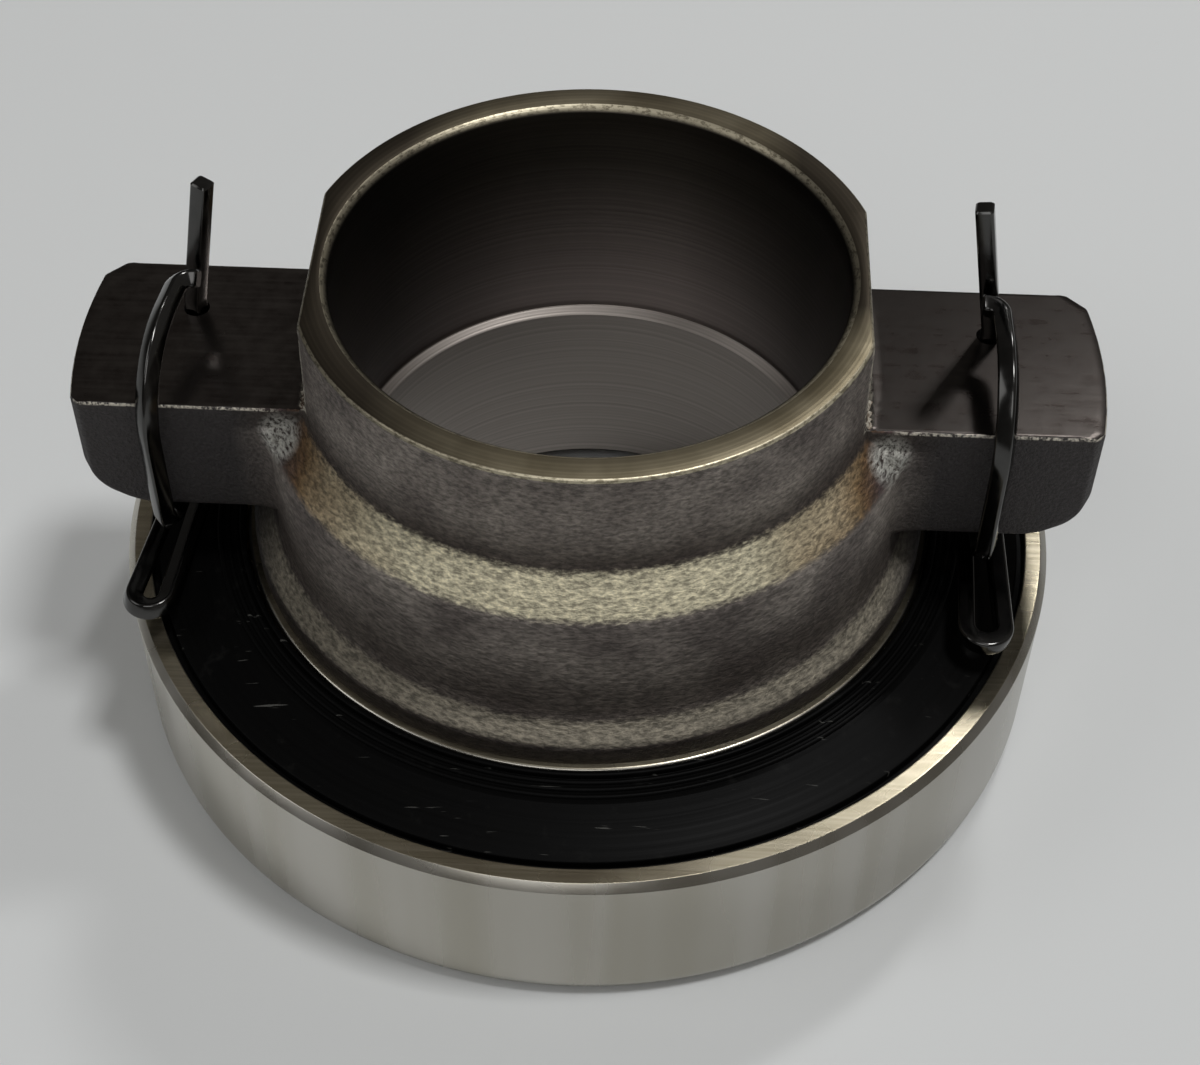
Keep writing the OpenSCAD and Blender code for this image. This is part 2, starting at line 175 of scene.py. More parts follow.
RING_R = reach("outer_ring", 0, 1)
RING_TOP = reach("outer_ring", 2, 1)
SEAT_Z = reach("inner_ring", 2, 1)
BALL_R = (reach("ball_15", 2, 1) - reach("ball_15", 2, 0)) / 2
BALL_Z = (reach("ball_15", 2, 1) + reach("ball_15", 2, 0)) / 2
PITCH_R = (reach("ball_15", 0, 1) + reach("ball_15", 0, 0)) / 2
SEAT_R = 27.5
RACE_GAP = 0.06
RACE_DEPTH = 1.45
RACE_R = 0.53 * 2 * BALL_R
INNER_LAND_R = PITCH_R - BALL_R - RACE_GAP + RACE_DEPTH
OUTER_LAND_R = PITCH_R + BALL_R + RACE_GAP - RACE_DEPTH
RACE_ANGLE = math.degrees(math.acos((RACE_R - RACE_DEPTH) / RACE_R))
print("ring radius, top:", round(RING_R, 2), round(RING_TOP, 2), "ball radius:", round(BALL_R, 3))

# %% [markdown]
# ## Outer ring
# The outer ring is hardened steel, ground on the outside and on its top face. Its upper edge has a chamfer
# with two crisp lines, its lower edge is well rounded, and its inside holds the raceway and the seal's seat.
# The chamfer's own edges are rounded by a tenth of a millimetre, so that each catches a thin line of light.

# %% Make the outer ring
RING_RIM = 2.2
RING_CHAMFER = 0.7
RING_ROUND = 2.0
FINE_ROUND = 0.1
CONTACT_R = SEAT_R + 3.5
CONTACT_T = 2.6
MOUTH_R = RING_R - RING_RIM
SHELF_Z = RING_TOP - 2.4
LOW_GROOVE_R = CONTACT_R + 0.6
LOW_GROOVE_Z = (0.85, 2.25)

outer_race = arc(PITCH_R + BALL_R + RACE_GAP - RACE_R, BALL_Z, RACE_R, RACE_ANGLE, -RACE_ANGLE, 16)
outer_ring = turned("ground_outer_ring", rounded(np.vstack([
    (CONTACT_R + 0.08, LOW_GROOVE_Z[0], 0),
    (CONTACT_R + 0.3, 0, 0.7),
    (RING_R, 0, RING_ROUND),
    (RING_R - 0.001, RING_ROUND + 0.2, 0),
    (RING_R - 0.001, RING_TOP - RING_CHAMFER - 0.2, 0),
    (RING_R, RING_TOP - RING_CHAMFER, FINE_ROUND),
    (RING_R - RING_CHAMFER, RING_TOP, FINE_ROUND),
    (RING_R - RING_CHAMFER - 0.2, RING_TOP - 0.001, 0),
    (MOUTH_R + 0.2, RING_TOP - 0.001, 0),
    (MOUTH_R, RING_TOP, FINE_ROUND),
    (MOUTH_R, SHELF_Z, 0),
    (OUTER_LAND_R, SHELF_Z, FINE_ROUND),
    plain(outer_race),
    (OUTER_LAND_R, CONTACT_T, FINE_ROUND),
    (CONTACT_R, CONTACT_T, FINE_ROUND),
    (CONTACT_R, LOW_GROOVE_Z[1], 0),
    (LOW_GROOVE_R, LOW_GROOVE_Z[1], 0),
    (LOW_GROOVE_R, LOW_GROOVE_Z[0], 0),
])), 512)
mounted(outer_ring, "outer_ring", "outer_race")

# %% [markdown]
# ## Inner ring
# The inner ring is pressed on the hub's spigot and hardly shows, but it closes the view into the bearing
# between the seal's lip and the flange. Its raceway is the mirror of the outer one.

# %% Make the inner ring
INNER_LOW_Z = reach("inner_ring", 2, 0)
INNER_EDGE = 0.4

inner_race_at = PITCH_R - BALL_R - RACE_GAP + RACE_R
inner_race = arc(inner_race_at, BALL_Z, RACE_R, 180 + RACE_ANGLE, 180 - RACE_ANGLE, 16)
inner_ring = turned("pressed_inner_ring", rounded(np.vstack([
    (SEAT_R + 0.025, INNER_LOW_Z, INNER_EDGE),
    (INNER_LAND_R, INNER_LOW_Z, INNER_EDGE),
    plain(inner_race),
    (INNER_LAND_R, SEAT_Z, INNER_EDGE),
    (SEAT_R + 0.025, SEAT_Z, FINE_ROUND),
])))
mounted(inner_ring, "inner_ring", "carrier")

# %% [markdown]
# ## Seals
# The upper seal is rubber moulded on a steel disc. Its rim sits in the ring's mouth behind a narrow groove,
# its flat rises gently to a band of fine ridges, and its inner edge is a raised lip that runs close to the
# hub's flange. The lower seal is a plain rubber ring in the bore of the contact flange.

# %% Make the seals
LIP_TOP = reach("seal_upper", 2, 1)
LIP_R = 33.576
LIP_W = 0.55
BAND_Z = LIP_TOP - 0.6
RIDGE_R = 0.26
RIDGE_PITCH = 0.76
RIDGES_IN = LIP_R + LIP_W + RIDGE_PITCH / 2
SEAL_RIM_R = MOUTH_R - 0.05
GROOVE_W = 0.7
GROOVE_Z = RING_TOP - 1.05
WEB_Z = BAND_Z - 2

ridges = np.vstack([arc(RIDGES_IN + i * RIDGE_PITCH, BAND_Z, RIDGE_R, 0, 180) for i in (2, 1, 0)])
seal_upper = turned("upper_seal", rounded(np.vstack([
    (SEAL_RIM_R, SHELF_Z, 0),
    (SEAL_RIM_R, GROOVE_Z, 0.1),
    (SEAL_RIM_R - GROOVE_W, GROOVE_Z, 0.15),
    (SEAL_RIM_R - GROOVE_W, RING_TOP - 0.25, 0.2),
    (RIDGES_IN + 3 * RIDGE_PITCH, BAND_Z, 0.3),
    plain(ridges),
    (LIP_R + LIP_W, BAND_Z, 0.05),
    (LIP_R + LIP_W, LIP_TOP, 0.2),
    (LIP_R, LIP_TOP, 0.25),
    (LIP_R, LIP_TOP - 1.4, 0.2),
    (LIP_R + LIP_W + RIDGE_PITCH, WEB_Z, 0.3),
    (OUTER_LAND_R, WEB_Z, 0.1),
    (OUTER_LAND_R + 0.4, SHELF_Z, 0),
])), 480)
mounted(seal_upper, "seal_upper", "outer_race")

LOW_LIP_R = SEAT_R + 0.3
LOW_SEAL_Z = (reach("seal_lower", 2, 0), reach("seal_lower", 2, 1))
seal_lower = turned("lower_seal", rounded(np.vstack([
    (LOW_LIP_R, sum(LOW_SEAL_Z) / 2, 0.15),
    (LOW_LIP_R + 0.65, LOW_SEAL_Z[0], 0.3),
    (LOW_GROOVE_R - 0.05, LOW_SEAL_Z[0], 0.1),
    (LOW_GROOVE_R - 0.05, LOW_SEAL_Z[1], 0.1),
    (LOW_LIP_R, LOW_SEAL_Z[1], 0.15),
])))
mounted(seal_lower, "seal_lower", "outer_race")

# %% [markdown]
# ## Hub: the plan
# The hub is one casting: a round collar and neck, with a lug on each side. Its surface is worked out as one
# closed grid. Each column is a cut through the axis at one angle, so the first step is the plan view: how
# far the casting reaches at each angle. Collar, root fillet, lug side, tip corner and tip arc follow each
# other, the left half mirrors the right one, and long straight parts are split so that later rows can bend.

# %% Work out the hub's plan
BORE_R = 22.25
RELIEF_R = 23.2
NECK_R = 26.4
NECK_FOOT_R = 26.7
COLLAR_R = 30.2
FLAT_X = 24.8
LUG_TIP = reach("hub", 0, 1)
LUG_HALF = 9.7
FRONT_CUT, FRONT_ROUND = 0.8, 0.7
BACK_CUT, BACK_ROUND = 1.9, 0.9
ROOT_FILLET = 2.4
TIP_MARGIN = 1.5
MIRROR_TURN = 89.3
COLUMN_GAP = 0.75

root_y = LUG_HALF + ROOT_FILLET
root_x = math.sqrt((COLLAR_R + ROOT_FILLET) ** 2 - root_y**2)
root_turn = math.degrees(math.asin(root_y / (COLLAR_R + ROOT_FILLET)))
front_y, back_y = -LUG_HALF + FRONT_CUT, LUG_HALF - BACK_CUT
front_x, back_x = math.sqrt(LUG_TIP**2 - front_y**2), math.sqrt(LUG_TIP**2 - back_y**2)
front_turn, back_turn = (math.degrees(math.asin(y / LUG_TIP)) for y in (front_y, back_y))

right_half = np.vstack([
    plain(arc(0, 0, COLLAR_R, -MIRROR_TURN, -root_turn, 45)),
    plain(arc(root_x, -root_y, ROOT_FILLET, 180 - root_turn, 90, 10)[1:]),
    (front_x - FRONT_CUT, -LUG_HALF, FRONT_ROUND),
    (front_x, front_y, FRONT_ROUND),
    plain(arc(0, 0, LUG_TIP, front_turn + TIP_MARGIN, back_turn - TIP_MARGIN, 20)),
    (back_x, back_y, BACK_ROUND),
    (back_x - BACK_CUT, LUG_HALF, BACK_ROUND),
    plain(arc(root_x, root_y, ROOT_FILLET, -90, -180 + root_turn, 10)[:-1]),
    plain(arc(0, 0, COLLAR_R, root_turn, MIRROR_TURN, 45)),
])
plan = rounded(np.vstack([right_half, right_half[::-1] * (-1, 1, 1)]))
ahead = np.roll(plan, -1, 0)
parts = np.ceil(np.linalg.norm(ahead - plan, axis=1) / COLUMN_GAP).astype(int)
owner = np.repeat(np.arange(len(plan)), parts)
share = ((np.arange(parts.sum()) - np.repeat(np.cumsum(parts) - parts, parts)) / parts[owner])[:, None]
plan = plan[owner] * (1 - share) + ahead[owner] * share
print("columns in the plan:", len(plan))

# %% [markdown]
# ## Hub: the rows
# Along each column the rows run up the outside and down the bore: spigot, flange, flare, the underside of the
# lug, its wall, the step from the lug's root or the shoulder to the next wall, the lug's top face, the neck
# and the rim. Where a column has no lug, the rows of the lug are spread a little up the wall, so that no
# face is squeezed to nothing. A cast edge is rounded by lowering the surface near it, and an inner corner is
# filled by raising it: both heights follow a quarter circle over the distance from the edge.

# %% Heights and helpers for the rows
LUG_LOW, LUG_TOP = 25.0, 38.0
TIP_ROUND = 7.0
TIP_RISE = 9.0
SHOULDER_Z = 34.1
SHOULDER_SLOPE = 1 / math.tan(math.radians(47))
ROOT_TOP = SHOULDER_Z + 1.6
RIM_Z = 47.7
LEDGE_Z = 22.2
HUB_LOW = reach("hub", 2, 0)


def quarter(distance, radius):
    """Height that a quarter circle of the given radius still lacks, this far from the edge: radius at the
    edge itself, and 0 from one radius on."""
    inside = np.clip(radius - distance, 0, radius)
    return radius - np.sqrt(np.maximum(radius**2 - inside**2, 0))


def spaced(rows):
    """Shares from 0 to 1 that lie closer together near both ends: half of 1 - cos."""
    return (1 - np.cos(np.linspace(0, np.pi, rows))) / 2


print("lug from", LUG_LOW, "to", LUG_TOP, "and rim at", RIM_Z)

# %% [markdown]
# ### What each column reaches
# Every column knows three radii: r1 on the plan, r2 where the step ends and the lug's top begins, and that of
# the neck's wall. A rounding is measured square to the outline, but the rows run along the column, so the
# slant between the two is kept as well. Where lug, step or top have no width, their share of nothing is 1.

# %% Measure each column
FADE = 0.8

r1 = np.hypot(*plan.T)[:, None]
ray = plan / r1
along_plan = np.roll(plan, -1, 0) - np.roll(plan, 1, 0)
along_plan /= np.linalg.norm(along_plan, axis=1, keepdims=True)
facing = np.abs(ray[:, :1] * along_plan[:, 1:] - ray[:, 1:] * along_plan[:, :1])
cos_t, sin_t = np.abs(ray[:, :1]), np.abs(ray[:, 1:])
side_r = LUG_HALF / np.maximum(sin_t, 0.2)
is_lug = cos_t / np.maximum(sin_t, 1e-6) > root_x / LUG_HALF - 1e-6
r2 = np.where(is_lug, r1, np.clip(side_r, NECK_FOOT_R, r1))
at_root = np.clip((r2 - NECK_FOOT_R) / 0.5 + (r1 - COLLAR_R) / 0.3, 0, 1)
step_top = SHOULDER_Z + (ROOT_TOP - SHOULDER_Z) * at_root
wall_r = np.minimum(NECK_FOOT_R - 0.02, FLAT_X / cos_t)
outreach = r1 - COLLAR_R
no_lug = 1 - np.clip(outreach / FADE, 0, 1)
no_step = 1 - np.clip((r1 - r2) / FADE, 0, 1)
no_top = 1 - np.clip((r2 - wall_r) / FADE, 0, 1)
print("columns through a lug:", int(is_lug.sum()), "of", len(plan))

# %% [markdown]
# ### Foot and lug
# The foot is the same all round: the spigot for the inner ring, the flange with its round edge, and the flare
# up to the collar. Then the rows go out under the lug, whose tip edge rises in a tall quarter ellipse, round
# its lower edge, and up its wall.

# %% Rows of the foot and the lug
BASE_TOP = 23.6
FLANGE_R, FLANGE_Z, FLANGE_ROUND = 32.5, 19.6, 0.9
FLARE_R, FLARE_Z = 2.6, 22.902
UNDER_FILLET = 1.0
LOW_EDGE = 0.8
SHOULDER_EDGE = 0.75
ROOT_EDGE = 0.45

base = np.vstack([
    (BORE_R + 0.8, HUB_LOW),
    (SEAT_R - 0.4, HUB_LOW),
    (SEAT_R, HUB_LOW + 0.4),
    (SEAT_R, SEAT_Z),
    (FLANGE_R, SEAT_Z),
    arc(FLANGE_R - FLANGE_ROUND, FLANGE_Z, FLANGE_ROUND, 0, 65),
    arc(COLLAR_R + FLARE_R, FLARE_Z, FLARE_R, 245, 180),
    (COLLAR_R, BASE_TOP),
])
rows = [(base[:, 0] + 0 * r1, base[:, 1] + 0 * r1)]

s = spaced(18)
cut_in = np.minimum(LOW_EDGE / facing, 0.8 * outreach)
under_r = COLLAR_R + s * (outreach - cut_in)
root_rise = quarter(under_r - COLLAR_R, np.minimum(UNDER_FILLET, outreach / 2) + 1e-6)
tip_rise = quarter(LUG_TIP - under_r * cos_t, TIP_ROUND) * TIP_RISE / TIP_ROUND
rows.append((under_r, LUG_LOW - root_rise + tip_rise + no_lug * s))

t = np.linspace(0, np.pi / 2, 7)[1:]
lower_edge = np.minimum(LOW_EDGE, outreach)
edge_r = r1 - cut_in * (1 - np.sin(t))
edge_rise = quarter(LUG_TIP - edge_r * cos_t, TIP_ROUND) * TIP_RISE / TIP_ROUND
rows.append((edge_r, LUG_LOW + edge_rise + lower_edge * (1 - np.cos(t)) + no_lug * (1 + 0.2 * t)))

edge_1 = np.where(is_lug, 0, np.where(no_lug > 0.99, SHOULDER_EDGE, ROOT_EDGE))
wall_low = rows[-1][1][:, -1:]
s = np.linspace(0, 1, 6)[1:]
rows.append((r1 + 0 * s, wall_low + s * (step_top - edge_1 - wall_low)))
print("rows so far:", sum(r.shape[1] for r, z in rows))

# %% [markdown]
# ### Step and top
# Between the lugs the step is the shoulder, a cone that climbs to the neck. Beside a lug it is the flat root,
# and the lug's side wall stands on it. The lug's top is flat, with a fine edge outside and a fillet at the
# neck.

# %% Rows of the step and the top
STEP_FILLET = 0.8
TOP_EDGE = 0.3
TOP_FILLET = 1.1
NO_WIDTH = 0.05

s = spaced(18)[1:]
step_r = r1 + s * (r2 - r1)
cone = np.maximum(step_top, SHOULDER_Z + (COLLAR_R - step_r) * SHOULDER_SLOPE)
corner_2 = np.minimum(STEP_FILLET, (r1 - r2) / 2) + 1e-6
step_z = cone - quarter((r1 - step_r) * facing, edge_1) + quarter(step_r - r2, corner_2)
rows.append((step_r, step_z + no_step * 0.6 * s))

edge_2 = np.minimum(TOP_EDGE, np.maximum(r2 - wall_r, 0) * 0.4)
step_end = rows[-1][1][:, -1:]
wall_top = np.maximum(LUG_TOP - edge_2, step_end + 0.15)
s = np.linspace(0, 1, 4)[1:]
r2_top = np.where(no_top > 0.99, np.minimum(r2, NECK_FOOT_R), r2)
rows.append((r2_top + 0 * s, step_end + s * (wall_top - step_end)))

s = spaced(22)[1:]
top_width = np.maximum(r2_top - wall_r, 0)
top_r = r2_top + s * (np.minimum(wall_r, r2_top) - r2_top)
edge_in = np.where(is_lug, facing, sin_t)
corner_3 = np.minimum(TOP_FILLET, top_width / 2) + 1e-6
top_z = LUG_TOP - quarter((r2_top - top_r) * edge_in, edge_2) + quarter(top_r - wall_r, corner_3)
top_z = np.where(top_width > NO_WIDTH, np.maximum(top_z, wall_top), wall_top)
rows.append((top_r, top_z + no_top * s))
print("rows so far:", sum(r.shape[1] for r, z in rows))

# %% [markdown]
# ### Neck, rim and bore
# The neck tapers a little and is cut by a flat above each lug. The rim is turned flat with two small edges,
# and the bore steps in from the wide upper part to the guide bore. With the last row the grid closes on
# itself.

# %% Rows of the neck, the rim and the bore
RIM_EDGE = 0.35

neck_low = rows[-1][1][:, -1:]
s = np.linspace(0, 1, 9)[1:]
neck_z = neck_low + s * (RIM_Z - RIM_EDGE - neck_low)
neck_round = NECK_FOOT_R + (NECK_R - NECK_FOOT_R) * np.clip((neck_z - LUG_TOP) / (RIM_Z - LUG_TOP), 0, 1)
rows.append((np.minimum(neck_round, FLAT_X / cos_t), neck_z))

t = np.linspace(0, np.pi / 2, 6)[1:]
rim_r = np.minimum(NECK_R, FLAT_X / cos_t)
rows.append((rim_r - RIM_EDGE * (1 - np.cos(t)), RIM_Z - RIM_EDGE * (1 - np.sin(t)) + 0 * rim_r))
bore = np.vstack([
    (RELIEF_R + 0.68, RIM_Z),
    (RELIEF_R + 0.6, RIM_Z - 0.04),
    (RELIEF_R + 0.04, RIM_Z - 0.52),
    (RELIEF_R, RIM_Z - 0.6),
    np.column_stack([np.full(8, RELIEF_R), np.linspace(RIM_Z - 3, LEDGE_Z + 1.2, 8)]),
    (RELIEF_R, LEDGE_Z + 0.55),
    (RELIEF_R - 0.1, LEDGE_Z + 0.44),
    (BORE_R + 0.1, LEDGE_Z + 0.06),
    (BORE_R, LEDGE_Z - 0.05),
    np.column_stack([np.full(5, BORE_R), np.linspace(LEDGE_Z - 2, HUB_LOW + 0.8, 5)]),
])
rows.append((bore[:, 0] + 0 * r1, bore[:, 1] + 0 * r1))

hub_r = np.concatenate([r for r, z in rows], axis=1)
hub_z = np.concatenate([z for r, z in rows], axis=1)
hub = grid_piece("cast_hub", np.stack([hub_r * ray[:, :1], hub_r * ray[:, 1:], hub_z], axis=-1))

# %% [markdown]
# Each lug has a drilled hole for its clip. A hole cuts straight through the grid, so it is a Boolean with a
# plain cylinder, and the result is kept as the hub's mesh. After that every face is marked with its finish:
# bore, ledge and rim are turned on a lathe, lug tops and flats are milled, and the rest is as cast.

# %% Drill the hub
CLIP_X, CLIP_Y = 36.806, 3.5
HOLE_R = 1.2

t = np.linspace(0, 2 * np.pi, 48, endpoint=False)[:, None]
heights = np.array([LUG_LOW - 2, LUG_TOP + 2])
drill_x, drill_y = (HOLE_R * wave(t) + 0 * heights for wave in (np.cos, np.sin))
drill_points = np.stack([drill_x, drill_y, heights + 0 * t], axis=-1)
for side in (-1, 1):
    drill = grid_piece("drill", drill_points + (side * CLIP_X, CLIP_Y, 0), close_along=False)
    cut = hub.modifiers.new("clip hole", "BOOLEAN")
    cut.object = drill
    cut.operation = "DIFFERENCE"
    cut.solver = "EXACT"
    drilled = bpy.data.meshes.new_from_object(hub.evaluated_get(bpy.context.evaluated_depsgraph_get()))
    hub.modifiers.clear()
    hub.data = drilled
    bpy.data.objects.remove(drill)
hub.data.set_sharp_from_angle(angle=SHARP_ANGLE)
print("faces after drilling:", len(hub.data.polygons))

# %% Mark the hub's finishes
faces = len(hub.data.polygons)
centre = np.empty(faces * 3)
normal = np.empty(faces * 3)
hub.data.polygons.foreach_get("center", centre)
hub.data.polygons.foreach_get("normal", normal)
x, y, z = centre.reshape(-1, 3).T / MM
normal_x, _, normal_z = normal.reshape(-1, 3).T
radius = np.hypot(x, y)
is_turned = (radius < RELIEF_R + 0.15) | (z > RIM_Z - RIM_EDGE - 0.05) | (z < SEAT_Z - 0.05)
up_or_out = (normal_z > 0.9) | (np.abs(normal_x) > 0.98)
is_milled = (np.abs(x) > FLAT_X - 0.05) & (z > LUG_TOP - 0.2) & up_or_out
for name, marks in (("turned", is_turned), ("milled", is_milled & ~is_turned)):
    layer = hub.data.attributes.new(name, "FLOAT", "FACE")
    layer.data.foreach_set("value", marks.astype(np.float32))
    print(name, "faces:", int(marks.sum()), "of", faces)
mounted(hub, "hub", "carrier")

# %% [markdown]
# ## Clips
# Each clip is one length of square spring wire: a leg through the lug, a flat hook in front of it for the
# fork, a fold under the lug, and an arch over the top. A curve object with a bevel would twist the square
# section at the bends, so the wire is carried along here by hand: at each bend the section turns about the
# bend's own axis, and along the straight parts it doesn't turn at all.

# %% The clip's path
CLIP_CORNERS = np.array([
    (34.306, 3.5, 53.0),
    (36.806, 3.5, 39.006),
    (36.806, 3.5, 20.4),
    (35.506, -18.8, 20.4),
    (39.006, -18.8, 20.4),
    (39.006, 0.289, 20.4),
    (37.006, 0.289, 23.644),
    (37.006, -11.606, 23.644),
    (37.006, -11.606, 43.6),
    (37.006, 1.289, 43.6),
    (35.206, 1.289, 43.6),
])
CLIP_BENDS = (4.8, 2.4, 1.715, 1.715, 1.868, 1.868, 2.4, 8.5, 1.6)
print("corners in the clip's path:", len(CLIP_CORNERS), "bends:", len(CLIP_BENDS))

# %% Carry the wire along its path
WIRE_HALF = 0.825
WIRE_ROUND = 0.3
END_CUT = 0.15
END_SIZE = 0.82


def unit(v):
    """The vector v divided by its own length."""
    return v / np.linalg.norm(v)


def bent_wire(name, corners, bends, roll, place):
    """Carries a rounded square along a path of straight parts and bends. In a bend, points, directions and
    the section's normal are all spun about the bend's axis: v cos a + (axis x v) sin a + axis (axis . v)
    (1 - cos a). The section's corner (p, q) lies at point + p normal + q (direction x normal). The roll, in
    degrees, turns the section about the path, and place puts the finished points on their side."""
    way = unit(corners[1] - corners[0])
    normal = unit(np.array((0, 1, 0)) - way[1] * way)
    points, normals, ways = [corners[:1]], [normal[None]], [way[None]]
    for before, at, after, radius in zip(corners, corners[1:], corners[2:], bends):
        back, ahead = unit(before - at), unit(after - at)
        half = math.acos(back @ ahead) / 2
        axis = unit(np.cross(-back, ahead))
        centre = at + unit(back + ahead) * radius / math.sin(half)
        angle = np.linspace(0, math.pi - 2 * half, 13)[:, None]
        spun = [
            v * np.cos(angle) + np.cross(axis, v) * np.sin(angle) + axis * (axis @ v) * (1 - np.cos(angle))
            for v in (at + back * radius / math.tan(half) - centre, normals[-1][-1], -back)
        ]
        points.append(centre + spun[0])
        normals.append(spun[1])
        ways.append(spun[2])
    points.append(corners[-1:])
    normals.append(normals[-1][-1:])
    ways.append(ways[-1][-1:])
    path, normal, way = (np.concatenate(part) for part in (points, normals, ways))
    ends = np.stack([path[0] + way[0] * END_CUT, path[-1] - way[-1] * END_CUT])
    path = np.concatenate([path[:1], ends[:1], path[1:-1], ends[1:], path[-1:]])
    normal = np.concatenate([normal[:1], normal, normal[-1:]])
    way = np.concatenate([way[:1], way, way[-1:]])
    size = np.ones(len(path))
    size[[0, -1]] = END_SIZE
    square = np.array([(1, 1), (-1, 1), (-1, -1), (1, -1)]) * WIRE_HALF
    section = rounded(np.column_stack([square, np.full(4, WIRE_ROUND)]), 4)
    cos_r, sin_r = math.cos(math.radians(roll)), math.sin(math.radians(roll))
    section = section @ np.array([(cos_r, sin_r), (-sin_r, cos_r)])
    p, q = section.T[:, :, None, None]
    side = np.cross(way, normal)
    surface = path + size[:, None] * (p * normal + q * side)
    return grid_piece(name, place(surface), close_along=False)


# %% Make both clips
LEFT_SWIVEL = math.radians(7)
RIGHT_ROLL, LEFT_ROLL = 8, 72


def left_place(points):
    """Swings the wire outwards about its leg and mirrors it to the left side."""
    x, y, z = np.moveaxis(points - (CLIP_X, CLIP_Y, 0), -1, 0)
    swung_x = x * math.cos(LEFT_SWIVEL) - y * math.sin(LEFT_SWIVEL) + CLIP_X
    swung_y = x * math.sin(LEFT_SWIVEL) + y * math.cos(LEFT_SWIVEL) + CLIP_Y
    return np.stack([-swung_x, swung_y, z], axis=-1)


clip_right = bent_wire("right_clip_wire", CLIP_CORNERS, CLIP_BENDS, RIGHT_ROLL, lambda points: points)
clip_left = bent_wire("left_clip_wire", CLIP_CORNERS, CLIP_BENDS, LEFT_ROLL, left_place)
mounted(clip_right, "clip_right", "right_clip")
mounted(clip_left, "clip_left", "left_clip")

# %% [markdown]
# ## Materials
# Colours are written as a paint program shows them and turned into linear light by one function. A second one
# adds a shader node: its settings, its values, and its links are all given in one call. Patterns read the
# part's own coordinates in millimetres, so the size of a grain is written as it is on the part.

# %% Helpers for materials


def linear(code):
    """Linear light from a colour such as #808080: each share c becomes ((c + 0.055) / 1.055) to the power
    2.4, or c / 12.92 below 0.04045."""
    c = np.array([int(code[i : i + 2], 16) for i in (1, 3, 5)]) / 255
    return (*np.where(c > 0.04045, ((c + 0.055) / 1.055) ** 2.4, c / 12.92).tolist(), 1.0)


def add(tree, kind, values, out=0, **settings):
    """Adds a node and gives back one of its outputs: settings are the node's properties, and values fill its
    inputs with a link, a number or a hex colour."""
    node = tree.nodes.new("ShaderNode" + kind)
    for key, value in settings.items():
        setattr(node, key, value)
    for key, value in values.items():
        if isinstance(value, bpy.types.NodeSocket):
            tree.links.new(value, node.inputs[key])
        else:
            node.inputs[key].default_value = linear(value) if isinstance(value, str) else value
    return node.outputs[out]


def new_material(name):
    """A material with its node tree, its Principled shader and the part's coordinates in millimetres."""
    material = bpy.data.materials.new(name)
    material.use_nodes = True
    tree = material.node_tree
    place = add(tree, "TexCoord", {}, "Object")
    scaled = add(tree, "VectorMath", {0: place, "Scale": 1 / MM}, operation="SCALE")
    return material, tree, tree.nodes["Principled BSDF"], scaled


def wear(material, *pieces):
    """Gives pieces this material alone."""
    for piece in pieces:
        piece.data.materials.clear()
        piece.data.materials.append(material)


print("middle grey in linear light:", round(linear("#808080")[0], 3))

# %% [markdown]
# ### Cast iron
# The hub is shot blasted after casting, which leaves the shoulder and the foot sandy. Faces that look upwards
# are painted bright and golden grey, partly for that finish and partly as painted light from above, while
# upright walls stay dull and the lugs nearly black.
# Heat near the lugs has left brown and violet tints on the ends of the shoulder. The bore, its step and the
# rim are turned, so they show rings round the axis. The lug tops and flats are milled and blackened, smooth
# enough for a blurred mirror image of the clip's leg. One material holds all of it: the marks on the faces
# choose the machining, and place and direction of the surface, both in the part's own frame, choose the tone.
# It could be five materials on five sets of faces, but then no tint could run from one to the next.

# %% Cast iron: place and direction
iron, tree, shader, mm = new_material("shot_blasted_cast_iron")
at = add(tree, "SeparateXYZ", {0: mm}).node.outputs
upward = add(tree, "SeparateXYZ", {0: add(tree, "TexCoord", {}, "Normal")}, "Z")
turned_mark = add(tree, "Attribute", {}, "Fac", attribute_name="turned")
milled_mark = add(tree, "Attribute", {}, "Fac", attribute_name="milled")
sideways = add(tree, "Math", {0: at["X"]}, operation="ABSOLUTE")
flat_place = add(tree, "VectorMath", {0: mm, 1: (1, 1, 0)}, operation="MULTIPLY")
from_axis = add(tree, "VectorMath", {0: flat_place}, "Value", operation="LENGTH")
print("material:", iron.name)

# %% [markdown]
# Five noises make the patterns: the sandy grain, drawn out round the axis because it lies along the walls,
# wide blotches of dirt, the lathe's fine rings, the cutter's straight lines and the mottle of the black
# oxide. A noise's Scale is one over the size of its grains, so each size is given in millimetres.

# %% Cast iron: patterns
GRAIN_MM = 0.32
GRAIN_STRETCH = 2.4
BLOTCH_MM = 8.0
TURNING_MM = 0.35
MILLING_MM = 0.45
SCALE_MM = 1.6

angle = add(tree, "Math", {0: at["Y"], 1: at["X"]}, operation="ARCTAN2")
round_way = add(tree, "Math", {0: angle, 1: COLLAR_R / GRAIN_STRETCH}, operation="MULTIPLY")
grain_place = add(tree, "CombineXYZ", {0: round_way, 1: from_axis, 2: at["Z"]})
grain_look = {"Scale": 1 / GRAIN_MM, "Detail": 3.0, "Roughness": 0.65}
grain = add(tree, "TexNoise", {"Vector": grain_place, **grain_look})
blotch = add(tree, "TexNoise", {"Vector": mm, "Scale": 1 / BLOTCH_MM, "Detail": 4.0})
feed = add(tree, "Math", {0: from_axis, 1: at["Z"]}, operation="ADD")
turning = add(tree, "TexNoise", {"W": feed, "Scale": 1 / TURNING_MM, "Detail": 3.0}, noise_dimensions="1D")
milling_place = add(tree, "VectorMath", {0: mm, 1: (0.04, 1, 0.4)}, operation="MULTIPLY")
milling = add(tree, "TexNoise", {"Vector": milling_place, "Scale": 1 / MILLING_MM, "Detail": 3.0})
